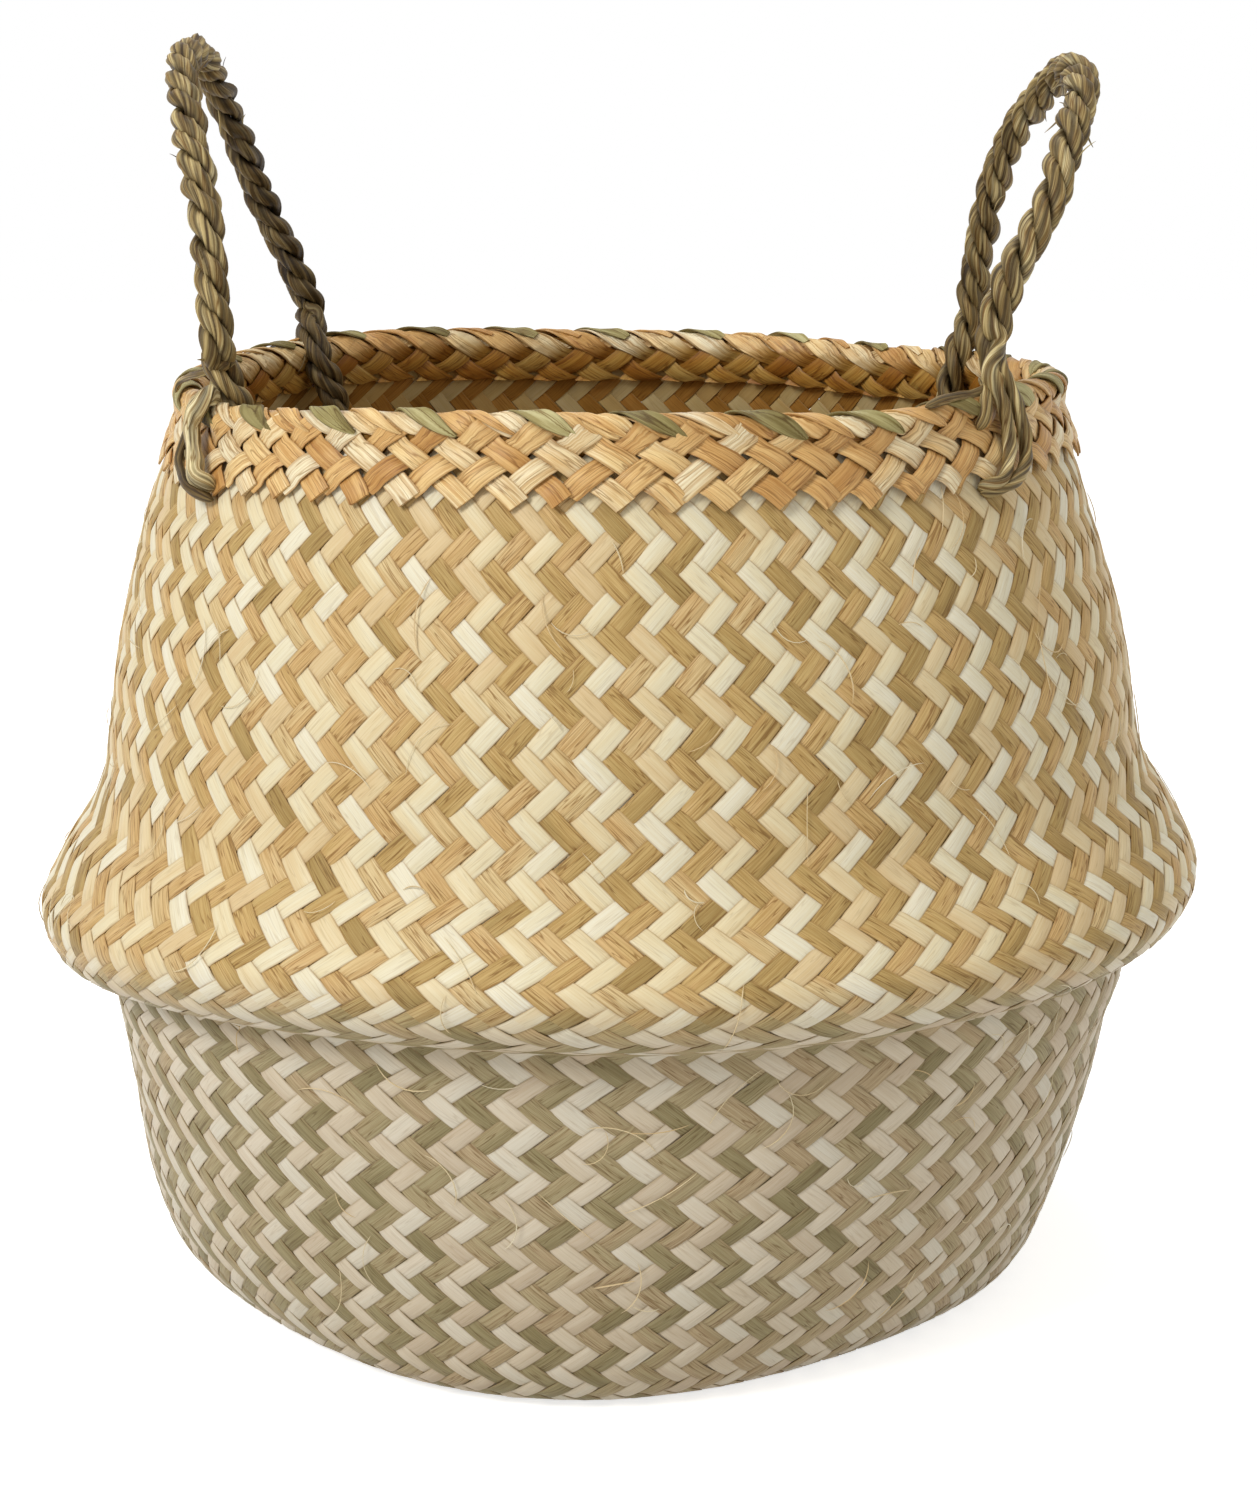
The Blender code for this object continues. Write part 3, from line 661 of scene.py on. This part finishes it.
# Each strip's own start, end and width, and the wander of its tilt and to its side
START_VARIES = (-0.16, 0.14)
STOP_VARIES = (-0.12, 0.10)
BORDER_VARIES = (0.88, 1.08)
BORDER_TILT = 0.14 * MM
BORDER_TILT_RATE = 5.0
BORDER_WANDER = 0.06
TOOTH_ROW = -0.46
TOOTH_BEND = 0.20
TOOTH_DIP = 0.65 * MM
DIP_VARIES = (0.2, 1.0)
BEND_VARIES = (0.6, 1.4)
# Rows past the roll by which a strip takes the darker inside tint, partly its duller back and
# partly painted shade inside the basket, and the share of it where the roll ends
INSIDE_ROWS = 0.8
INSIDE_START = 0.6
CORE_HALF = (1.4 * MM, 4.4 * MM)
CORE_HEIGHT = 265.2 * MM
CORE_LAP = 0.06
CORE_STATIONS = 241
CORE_POINTS = 12
CORE_TONE = 0.3
BORDER_TAN = ((0.62, 0.35, 0.11), (0.84, 0.56, 0.23), (0.93, 0.71, 0.35), (0.96, 0.88, 0.62))
BORDER_EDGE = (0.36, 0.18, 0.05)


def border_path():
    """Up outside the wall at one distance from it, round the roll in an arc, and down inside."""
    high = wall_line[:, 1] > BORDER_FOOT
    fine, slope = wall_line[high][:-LINE_TRIM], wall_slope[high][:-LINE_TRIM]
    aside = BORDER_ASIDE * np.stack([slope[:, 1], -slope[:, 0]], axis=-1)
    turn = np.linspace(ROLL_FROM, ROLL_TO, ROLL_STEPS)[:, None]
    over = ROLL_PLACE + ROLL_REACH * np.hstack([np.cos(turn), np.sin(turn)])
    outside = (fine + aside)[::LINE_STEP]
    inside = (fine - aside)[fine[:, 1] > INSIDE_FOOT][::-LINE_STEP]
    return np.vstack([outside, over, inside]), len(outside), len(over)


border_line, border_up, border_over = border_path()
border_run = distance_along(border_line)
border_slope = unit(np.gradient(border_line, border_run, axis=0))
roll_start = border_run[border_up] / BORDER_ROW + FIRST_ROW
roll_end = border_run[border_up + border_over - 1] / BORDER_ROW + FIRST_ROW
border_end = border_run[-1] / BORDER_ROW + FIRST_ROW


def on_border(column, row, proud):
    """Place on the border from lattice column and row, and a distance out from its middle line."""
    run = (row - FIRST_ROW) * BORDER_ROW
    radius, height, over, up = across_line(run, border_run, border_line, border_slope)
    radius, height = radius + proud * over, height + proud * up
    azimuth = (column - BORDER_SHEAR * row) * np.pi / BORDER_COUNT - np.pi / 2
    azimuth = azimuth + BORDER_SPREAD * np.cos(azimuth)
    return round_axis(radius, azimuth, height + rim_rise(azimuth))


def border_strips(family, low, high, width, seed):
    """Strips of one family between two rows of the border, over one and under one on its faces.

    On the roll the over and under die out, and the strips lie like shingles. Under the first
    crossing the falling strips bend down and back to the wall, so that their ends make the teeth.
    """
    chance = np.random.default_rng(seed)
    strips = []
    for number in range(BORDER_COUNT):
        start, stop = low + chance.uniform(*START_VARIES), high + chance.uniform(*STOP_VARIES)
        rows = rows_between(start, stop)[::-family][:, None]
        rolled = np.minimum(eased((rows - roll_start - ROLL_EASE[0]) / ROLL_EASE[1]),
                            eased((roll_end - rows - ROLL_EASE[0]) / ROLL_EASE[1]))
        own_width = width * chance.uniform(*BORDER_VARIES)
        w = STRIP_ROUND[:, 0] * (own_width * (1 - rolled) + ROLL_WIDTH * rolled)
        swing = np.tanh(BORDER_TIGHTNESS * (family * np.cos(np.pi * np.maximum(rows, 0))))
        hung = np.clip(1 - rows, 0, None) ** 2 * (family > 0)
        lift = swing * BORDER_LIFT * (1 - rolled) + rolled * ROLL_LIFTS[family]
        lift = lift - TOOTH_DIP * chance.uniform(*DIP_VARIES) * hung
        tilt = rolled * ROLL_SHINGLE + wander(chance, rows * BORDER_TILT_RATE, BORDER_TILT)
        proud = lift + tilt * STRIP_ROUND[:, 0] + STRIP_ROUND[:, 1] * BORDER_THICKNESS
        shift = wander(chance, rows, BORDER_WANDER)
        column = 2 * number - family * rows + family * (w / 2 + shift)
        column = column - TOOTH_BEND * chance.uniform(*BEND_VARIES) * hung
        places = on_border(column, rows + w / 2 + shift, proud)
        inner = eased((rows - roll_end) / INSIDE_ROWS + INSIDE_START)
        marks = strip_marks(distance_along(places[:, 0]), BORDER_MARK, inner)
        strips.append((places, marks, chance.random()))
    return strips


def rim_core():
    """One flat bundle round the rim inside the roll: an ellipse carried round, its ends lapped."""
    turn = np.linspace(0, 2 * np.pi + CORE_LAP, CORE_STATIONS)[:, None]
    angle = np.linspace(0, 2 * np.pi, CORE_POINTS, endpoint=False)[None, :]
    radius = ROLL_PLACE[0] + CORE_HALF[0] * np.cos(angle)
    height = CORE_HEIGHT + CORE_HALF[1] * np.sin(angle) + rim_rise(turn)
    places = round_axis(radius, turn, height)
    marks = np.stack([ROLL_PLACE[0] * turn + 0 * angle, CORE_HALF[1] * angle + 0 * turn,
                      0 * height + 0.5, 0 * height + 1.0, 0 * height], axis=-1)
    return [(places, marks, CORE_TONE)]


border_paint = leaf_finish("border_leaf", BORDER_TAN, BORDER_EDGE, (0.60, 0.42, 0.24), bump=0.8,
                           rough=0.42, gloss=0.3, scale=(60.0, 1500.0), cracks=0.7)
falling = border_strips(1, TOOTH_ROW, border_end + FALLING_PAST, FALLING_WIDTH, 61)
rising_out = border_strips(-1, RISING_ROW, roll_start + ROLL_LAP, RISING_WIDTH, 62)
rising_in = border_strips(-1, roll_end - ROLL_LAP, border_end + RISING_PAST, RISING_WIDTH, 63)
border_falling = shape_piece("border_falling", falling, border_paint)
border_rising_out = shape_piece("border_rising_outside", rising_out, border_paint)
border_rising_in = shape_piece("border_rising_inside", rising_in, border_paint)
border_core = shape_piece("border_core", rim_core(), border_paint)
for piece in (border_falling, border_rising_out, border_rising_in, border_core):
    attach(piece, "rim_ring")
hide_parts("outer_border", "inner_border", "rim_roll")


# ---- Rim binding ----
# A strip of green leaf is wound round the roll in long turns, and a tan one between them. Each
# turn shows as a slanting spindle that comes out of one seam and goes into the next.

BINDING_TURNS = 26
BINDING_STEP = 2 * BORDER_COUNT / BINDING_TURNS
BINDING_SLOPE = 3.1
BINDING_ROWS = (0.15, 2.25)
BINDING_STATIONS = 19
# The spindle's width is the sine of a span of the half circle, to a power
SPINDLE_SPAN = (0.10, 0.87)
SPINDLE_POWER = 0.75
SPINDLE_VARIES = (0.8, 1.15)
BINDING_MARK = 2.0 * MM
BINDING_WANDER = 0.12 * MM
BINDING_WAVES = 40
# How proud a spindle is: at its ends, more in its middle, and less towards its edges
BINDING_PROUD = (0.3, 0.7, 0.22)
GREEN_TONES = ((0.27, 0.22, 0.08), (0.43, 0.375, 0.155), (0.60, 0.54, 0.27))
GREEN_EDGE = (0.14, 0.11, 0.045)


def binding_turns(column_from, width, proud_by, seed):
    """Strips over the roll whose half width follows a sine, and which lie proud in the middle."""
    chance = np.random.default_rng(seed)
    share = np.linspace(0, 1, BINDING_STATIONS)[:, None]
    swell = np.sin(np.pi * (SPINDLE_SPAN[0] + SPINDLE_SPAN[1] * share)) ** SPINDLE_POWER
    rows = roll_start + BINDING_ROWS[0] + (BINDING_ROWS[1] - BINDING_ROWS[0]) * (1 - share)
    strips = []
    for number in range(BINDING_TURNS):
        w = STRIP_ROUND[:, 0] * width * swell * chance.uniform(*SPINDLE_VARIES)
        proud = proud_by * (BINDING_PROUD[0] + BINDING_PROUD[1] * swell)
        proud = proud - np.abs(STRIP_ROUND[:, 0]) * BINDING_PROUD[2] * proud_by
        proud = proud + STRIP_ROUND[:, 1] * BORDER_THICKNESS
        proud = proud + wander(chance, BINDING_WAVES * share, BINDING_WANDER)
        column = number * BINDING_STEP + column_from + BINDING_SLOPE * (share - 0.5)
        column = column + chance.uniform(-0.2, 0.2) + BORDER_SHEAR * rows
        places = on_border(column + w / 2, rows + w / 2 + chance.uniform(-0.1, 0.1), proud)
        marks = strip_marks(distance_along(places[:, 0]), BINDING_MARK, 0.0)
        strips.append((places, marks, chance.random()))
    return strips


green_paint = leaf_finish("green_leaf", GREEN_TONES, GREEN_EDGE, (0.52, 0.45, 0.28), 0.85,
                          bump=0.9, scale=(60.0, 1300.0), cracks=0.85, drift=(40.0, 600.0, 1.4))
green_piece = shape_piece("green_binding", binding_turns(1.2, 0.74, 1.5 * MM, 71), green_paint)
tan_piece = shape_piece("tan_binding", binding_turns(3.4, 0.46, 0.9 * MM, 72), border_paint)
for piece in (green_piece, tan_piece):
    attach(piece, "rim_ring")
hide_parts("rim_winder")


# ---- Rope handles ----
# Each handle is a rope of three left-laid plies of twisted brown leaf. Its feet go down inside the
# rim and out through an eyelet. At the right front foot the plies part and go down outside.

MOUTH_RADIUS = 126.5 * MM
PIVOT_HEIGHT = 281.8 * MM
HANDLES = {
    # side: azimuth, half span, bow, rise, sharpness of the arch
    "right": (math.radians(-2.5), 66.5 * MM, 24.5 * MM, 75.5 * MM, 1.3),
    "left": (math.radians(173.5), 73.5 * MM, 22.5 * MM, 80.5 * MM, 1.6),
}
# How far each handle stands out of its arch, in mm at even shares along it
HANDLE_SWAY = {
    "right": (-3.4, -3.6, 2.6, 2.4, 1, -3, -4.6, -6.6, -4.6, -0.6, 0),
    "left": (5.5, 7.5, 9.5, 7, 3, 0, 0, -1.8, -2.7, -1, -0.5),
}
PLY_ORBIT = 2.60 * MM
PLY_RADIUS = 2.48 * MM
PLY_TONES = {"left": (0.50, 0.58, 0.44), "right": (0.66, 0.38, 0.50)}
PLY_FLATNESS = 0.86
PLY_TWIST = 34.0 * MM
PLY_TAPER = 2.0 * MM
ROPE_LAY = 27.0 * MM
# How a ply wavers round the rope, and in and out: (size, rate along it, phase from ply to ply)
TURN_WAVER = (0.25, 95.0, 1.0)
ORBIT_WAVER = (0.10, 160.0, 2.1)
ROPE_STEP = 0.8 * MM
ARCH_MARGIN = 0.03
ARCH_STATIONS = 91
ARCH_STEP = 6
ROUND_POINTS = 18
# Ridges round a ply as (how many, size, turn by distance), and its swellings as (size, rate)
RIDGES = ((5, 0.075, 90.0), (8, 0.060, -140.0), (3, 0.050, 210.0))
SWELLINGS = ((0.06, 310.0), (0.05, 730.0))
# Edge mark of a ply, which sets its painted shade: its level, how the ridges lower it, and where
# the other plies hide it
GROOVE_SHADE_LEVEL = 0.86
GROOVE_SHADE_DEPTH = 2.2
HIDDEN_SHADE_BAND = (0.42, 0.6)
HIDDEN_SHADE_LEVELS = (0.8, 0.22)
ROPE_HAIRS = 16
HAIR_MARGINS = (30, 40)
HAIR_LENGTHS_MM = (4, 11)
HAIR_RADII_MM = (0.15, 0.45)
# The feet as (beside, out from the mouth's edge, height) in mm
FEET_INSIDE = {
    ("left", "front"): ((-2.6, -2, 279), (-0.6, -3.2, 272.5), (0, -6, 264), (0, -7, 252),
        (-0.5, -3.5, 243), (0, 2, 240)),
    ("left", "back"): ((8, 0.5, 276), (10.5, -4.5, 269), (8, -6.8, 261), (4, -7, 252),
        (1, -3.5, 243), (0, 2, 240)),
    ("right", "back"): ((0, -3.2, 273), (0.5, -6.6, 263), (0, -7, 252), (-0.5, -3.5, 243),
        (0, 2, 240)),
}
FOOT_PARTED = (
    ((-10.2, 1.2, 278.8), (-11, 3.4, 274), (-11, 6, 269.2), (-11.4, 7.8, 262), (-12.8, 9.2, 257),
        (-17, 11, 252.6), (-21.2, 11.8, 250.4), (-24.5, 7.5, 249)),
    ((-7, 2.6, 278.2), (-6.4, 5, 273), (-5.6, 7.8, 266.5), (-5.2, 9.4, 260.6), (-7, 10.8, 255.8),
        (-11.6, 12.2, 252), (-18.4, 12.9, 249.2), (-24, 8, 247.2)),
    ((-3.5, -2.6, 274), (-2.5, -6.6, 265), (-2, -7.4, 254), (-2, -3.5, 244), (-1, 2, 240)),
)
TAIL_HEIGHTS = (256.0 * MM, 277.0 * MM)
TAIL_SHARES = (0.72, 1.0)
ROPE_TONES = ((0.145, 0.097, 0.033), (0.295, 0.212, 0.083), (0.52, 0.395, 0.172),
              (0.71, 0.58, 0.29), (0.91, 0.80, 0.49))
# Painted shade in the rope's grooves and between its plies
ROPE_GROOVE_SHADE = (0.026, 0.016, 0.007)
# The left rope is darker from its back foot over the first share of its length, by the inner
# attribute: the tint, that share, and the share over which it fades
LEFT_BACK_DARKENING = (0.45, 0.42, 0.39)
DARK_UP_TO = 0.47
DARK_FADE = 0.1


def at_foot(side, end, route):
    """Turns (beside, out, height) points in mm at a handle's foot into places round the rim.

    The foot's azimuth is the handle's, more or less half the arc that it spans: the angle whose
    sine is the half span over the mouth's radius.
    """
    azimuth, half_span = HANDLES[side][:2]
    front = -1 if side == "right" else 1
    azimuth += (front if end == "front" else -front) * math.asin(half_span / MOUTH_RADIUS)
    beside, out, height = np.array(route).T * MM
    radius = MOUTH_RADIUS + out
    return round_axis(radius, azimuth + beside / radius, height)


def smooth_path(points, step=ROPE_STEP):
    """A smooth line through places in space, read off at even steps along its length."""
    fine = smooth_line(points)
    run = distance_along(fine)
    even = np.linspace(0, run[-1], max(int(run[-1] / step), 4) + 1)
    return np.stack([np.interp(even, run, values) for values in fine.T], axis=-1)


def frames_along(line):
    """Directions along, across and beside a path, the second kept as near outward as it goes."""
    along = unit(np.gradient(line, axis=0))
    outward = line * (1.0, 1.0, 0.0) + (0.0, 0.0, 0.03)
    across = unit(outward - along * np.sum(outward * along, axis=1)[:, None])
    return along, across, np.cross(along, across)


def twisted_leaf(line, radius, flat, turn_length, taper, chance, facing=None, core=None):
    """A twisted strand: rounded, ridged lengthwise, flattened one way, and turning as it goes.

    The radius is that of an ellipse with ridges round it, all turned by the distance along, and
    swollen and pinched a little by slow sines. Both ends are rounded off over the taper. Facing is
    the first direction of the ellipse's long side, which is drawn at random where it isn't given.
    A strand laid round a core takes painted shade where it faces the core, between the plies.
    Every strand takes painted shade in the grooves between its ridges, by its edge mark.
    """
    _, across, beside = frames_along(line)
    run = distance_along(line)[:, None]
    angle = np.linspace(0, 2 * np.pi, ROUND_POINTS, endpoint=False)[None, :]
    phases = chance.uniform(0, ANY_PHASE, 6)
    spin = run / turn_length * 2 * np.pi + (phases[0] if facing is None else facing)
    ridges = sum(size * np.cos(count * angle + phase + run * rate)
                 for (count, size, rate), phase in zip(RIDGES, phases[1:4]))
    swell = sum((size * np.sin(run * rate + phase)
                 for (size, rate), phase in zip(SWELLINGS, phases[4:])), start=1)
    ends = np.clip(np.minimum(run, run[-1] - run) / taper, 0.02, 1)
    swell = swell * np.sqrt(np.clip(1 - (1 - ends) ** 2, 0.02, 1))
    size = radius * swell * (1 + ridges)
    first, second = size * np.cos(angle), size * np.sin(angle) * flat
    x = first * np.cos(spin) - second * np.sin(spin)
    y = first * np.sin(spin) + second * np.cos(spin)
    places = line[:, None] + across[:, None] * x[..., None] + beside[:, None] * y[..., None]
    # Painted shade in the grooves between the ridges
    groove_shade = np.clip(GROOVE_SHADE_LEVEL - ridges * GROOVE_SHADE_DEPTH, 0, 1)
    if core is not None:
        # Painted shade between the plies, where a strand faces the core
        away = line - core[np.argmin(np.sum((line[:, None] - core) ** 2, axis=-1), axis=1)]
        far = np.linalg.norm(away, axis=1)[:, None]
        facing_out = np.sum((places - line[:, None]) * (away / far)[:, None], axis=-1) / size
        hidden_shade = np.clip((HIDDEN_SHADE_BAND[0] - facing_out) / HIDDEN_SHADE_BAND[1], 0, 1)
        hidden_shade = hidden_shade * np.clip(2 - far / (2 * PLY_ORBIT), 0, 1)
        groove_shade = np.maximum(groove_shade, HIDDEN_SHADE_LEVELS[0] + HIDDEN_SHADE_LEVELS[1] * hidden_shade)
    marks = np.stack([run + 0 * angle, np.abs(angle - np.pi) * radius + 0 * run, groove_shade,
                      0 * groove_shade, 0 * groove_shade], axis=-1)
    return places[:, ::-1], marks[:, ::-1], chance.random()


def rope_middle(side):
    """The rope's middle line: an arch that bows outwards over its chord, with its feet let on.

    Round the arch, the place beside the middle is a cosine, the height a sine to a power, and the
    bow a sine squared, with the sway added.
    """
    azimuth, half_span, bow, rise, sharp = HANDLES[side]
    angle = np.linspace(ARCH_MARGIN, math.pi - ARCH_MARGIN, ARCH_STATIONS)
    height = np.sin(angle)
    beside, up = -half_span * np.cos(angle), rise * height**sharp
    shares = np.linspace(0, 1, len(HANDLE_SWAY[side]))
    out = bow * height**2 + np.interp(angle / math.pi, shares, HANDLE_SWAY[side]) * MM
    chord = math.sqrt(MOUTH_RADIUS**2 - half_span**2) + out
    arch = np.stack([chord * math.cos(azimuth) - beside * math.sin(azimuth),
                     chord * math.sin(azimuth) + beside * math.cos(azimuth),
                     PIVOT_HEIGHT + up], axis=-1)[::ARCH_STEP]
    back = at_foot(side, "back", FEET_INSIDE[side, "back"])
    if side == "right":
        return np.vstack([arch, back])
    return np.vstack([back[::-1], arch, at_foot(side, "front", FEET_INSIDE[side, "front"])])


def lay_rope(side, seed):
    """Three plies, each a left-hand screw line round the rope's middle, and loose ends of fibre.

    Sines along the rope make each ply waver round it and in and out. At the right front foot the
    plies part, and grow thinner as they go down outside. A hair leaves the rope in a parabola.
    """
    chance = np.random.default_rng(seed)
    line = smooth_path(rope_middle(side))
    ahead, across, beside = frames_along(line)
    run = distance_along(line)
    plies = []
    for ply in range(3):
        turn_waver, orbit_waver = (size * np.sin(run * rate + phase * ply)
                                   for size, rate, phase in (TURN_WAVER, ORBIT_WAVER))
        turn = 2 * np.pi * ply / 3 - 2 * np.pi * run / ROPE_LAY + turn_waver
        orbit = PLY_ORBIT * (1 + orbit_waver)
        path = line + orbit[:, None] * (across * np.cos(turn)[:, None]
                                        + beside * np.sin(turn)[:, None])
        radius = PLY_RADIUS * np.ones((len(path), 1))
        if side == "right":
            head = at_foot(side, "front", FOOT_PARTED[ply])[::-1]
            path = smooth_path(np.vstack([head, path[3::5], path[-1:]]))
            radius = PLY_RADIUS * np.interp(path[:, 2:], TAIL_HEIGHTS, TAIL_SHARES)
        places, marks, _ = twisted_leaf(path, radius, PLY_FLATNESS, PLY_TWIST, PLY_TAPER, chance,
                                        core=line)
        if side == "left":
            darkened = DARK_UP_TO - np.linspace(0, 1, len(path))
            marks[..., 3] = eased(darkened / DARK_FADE)[:, None]
        plies.append((places, marks, PLY_TONES[side][ply]))
    for _ in range(ROPE_HAIRS):
        at = chance.integers(HAIR_MARGINS[0], len(line) - HAIR_MARGINS[1])
        turn, reach = chance.uniform(0, ANY_PHASE), chance.uniform(*HAIR_LENGTHS_MM) * MM
        out = across[at] * math.cos(turn) + beside[at] * math.sin(turn)
        t = np.linspace(0, 1, 9)[:, None]
        hair = (line[at] + out * (PLY_ORBIT + 0.6 * PLY_RADIUS + 0.5 * reach * t**2)
                + ahead[at] * reach * t * chance.choice((-1, 1)))
        thickness = chance.uniform(*HAIR_RADII_MM) * MM
        plies.append(twisted_leaf(hair, thickness, 0.6, 1.0, reach, chance))
    return plies


# The rope's edge tone is painted shade, in the grooves and between the plies
rope_paint = leaf_finish("rope_leaf", ROPE_TONES, ROPE_GROOVE_SHADE, (0.34, 0.25, 0.14), 0.9, bump=1.0,
                         rough=0.5, gloss=0.2, scale=(60.0, 1300.0), cracks=0.85,
                         inside=LEFT_BACK_DARKENING, drift=(22.0, 520.0, 1.7))
for side, seed in (("left", 81), ("right", 82)):
    rope = shape_piece(f"{side}_rope", lay_rope(side, seed), rope_paint, SHARP_ROUND)
    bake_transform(rope)
    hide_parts(*(f"{side}_handle_ply_{i}" for i in (1, 2, 3)))


# ---- Rope ends at the eyelets ----
# What comes out of an eyelet is turned up over the rim and tucked into the rope again: a wide flat
# strand and a thin one beside it, which hangs in a loop under the border's teeth.

END_STEP = 1.0 * MM
END_TAPER = 3.0 * MM
SLOW_TWIST = 0.3
# Each strand as (radius, flatness, route), the route in (beside, out, height) mm
END_STRANDS = {
    ("left", "front"): (
        (3.1, 0.75, ((1, 0.5, 269), (4.2, 4.4, 270.6), (4, 6.2, 268.4), (2.2, 7, 266),
            (1.6, 8.2, 261.4), (4.6, 9.2, 257.6), (8.6, 10.4, 253.4), (12.6, 11.8, 249.4),
            (16, 8, 246.5))),
        (1, 0.6, ((0, 1.5, 270), (1.6, 5.2, 270.4), (-1.8, 6.9, 268), (-2.9, 8.2, 263.2),
            (-1, 9.4, 257), (2, 9.6, 252))),
        (1.8, 0.7, ((1, 7.6, 262.5), (-0.6, 9.6, 257.6), (-0.9, 11, 252.6), (4.8, 12.4, 249),
            (11, 13.3, 246.4), (17, 9.5, 243.5))),
        (1.1, 0.7, ((-1, -1, 277), (-8.2, 1.8, 275.1), (-16.6, 2.6, 273.6), (-24.4, 3.7, 271.4),
            (-25.6, 4.9, 268.4))),
    ),
    ("left", "back"): (
        (2.5, 0.65, ((8, -1, 281), (7.5, 3.2, 277), (6.5, 7.6, 268), (5, 9, 255), (3, 11.4, 246),
            (0.5, 8.5, 240))),
        (1.9, 0.75, ((6, 0, 277), (4.5, 6, 271), (1, 9.2, 256), (-2, 12, 245), (-1, 12, 239.5),
            (1, 7.5, 239))),
    ),
    ("right", "back"): (
        (2.4, 0.65, ((1, -2, 286), (-0.5, 3, 279), (-1.5, 7.6, 268), (-2, 9, 255),
            (-1.5, 11.4, 246), (-0.5, 8.5, 240))),
        (1.9, 0.75, ((2.5, 0, 280), (3.5, 6.8, 270), (4.8, 9.2, 256), (3.8, 12, 245),
            (1, 12, 239.5), (-1, 7.5, 239))),
    ),
    ("right", "front"): (
        (1.3, 0.75, ((-5, -2, 278), (-12, 1.2, 274), (-19, 1.8, 272.9), (-26, 2, 272.7),
            (-33, 2.2, 272), (-39, 2.6, 270.9))),
        (2, 0.45, ((-8, -3, 275.5), (-12.5, 1.6, 273.6), (-16.5, 4.2, 271), (-19, 5.4, 267),
            (-20, 4, 263.5))),
    ),
}

for (side, end), routes in END_STRANDS.items():
    chance = np.random.default_rng(90 + 2 * (side == "left") + (end == "front"))
    strands = [twisted_leaf(smooth_path(at_foot(side, end, route), END_STEP), radius * MM, flat,
                            SLOW_TWIST, END_TAPER, chance, facing=math.pi / 2)
               for radius, flat, route in routes]
    ends = shape_piece(f"{side}_{end}_rope_ends", strands, rope_paint, SHARP_ROUND)
    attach(ends, "rim_ring")
    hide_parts(f"{side}_{end}_lashing")


# ---- Loose fibres ----
# Fine ivory threads of leaf stand off the wall all over, left when the strips were split. They
# are stuck down at both ends and bow out a little between them.

FIBRE_COUNT = 240
FIBRE_HEIGHTS = (30.0 * MM, 240.0 * MM)
FIBRE_LENGTHS = (7.0 * MM, 24.0 * MM)
FIBRE_RADII = (0.10 * MM, 0.17 * MM)
FIBRE_OFF = 1.0 * MM
FIBRE_BOW = 1.1 * MM
FIBRE_STATIONS = 9
FIBRE_CURL = 2.2
WALL_RADIUS = 150.0 * MM


def loose_fibres(chance):
    """Threads in arcs on the wall: the heading turns evenly, the distance off follows a sine."""
    share = np.linspace(0, 1, FIBRE_STATIONS)
    threads = []
    for _ in range(FIBRE_COUNT):
        length = chance.uniform(*FIBRE_LENGTHS)
        heading = (chance.uniform(0, 2 * np.pi)
                   + chance.uniform(-FIBRE_CURL, FIBRE_CURL) * share)
        height = (chance.uniform(*FIBRE_HEIGHTS)
                  + np.cumsum(np.sin(heading)) * length / FIBRE_STATIONS)
        around = (chance.uniform(0, 2 * np.pi)
                  + np.cumsum(np.cos(heading)) * length / FIBRE_STATIONS / WALL_RADIUS)
        row = np.interp(height, wall_line[:, 1], wall_rows)
        proud = FIBRE_OFF + chance.uniform(0.2, 1.0) * FIBRE_BOW * np.sin(np.pi * share)
        line = on_wall(around * STRIP_COUNT / np.pi, row, proud)
        threads.append(twisted_leaf(line, chance.uniform(*FIBRE_RADII), 0.8, SLOW_TWIST,
                                    length / 6, chance))
    return threads


fibres = shape_piece("loose_fibres", loose_fibres(np.random.default_rng(33)), top_light,
                     SHARP_ROUND)
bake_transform(fibres)
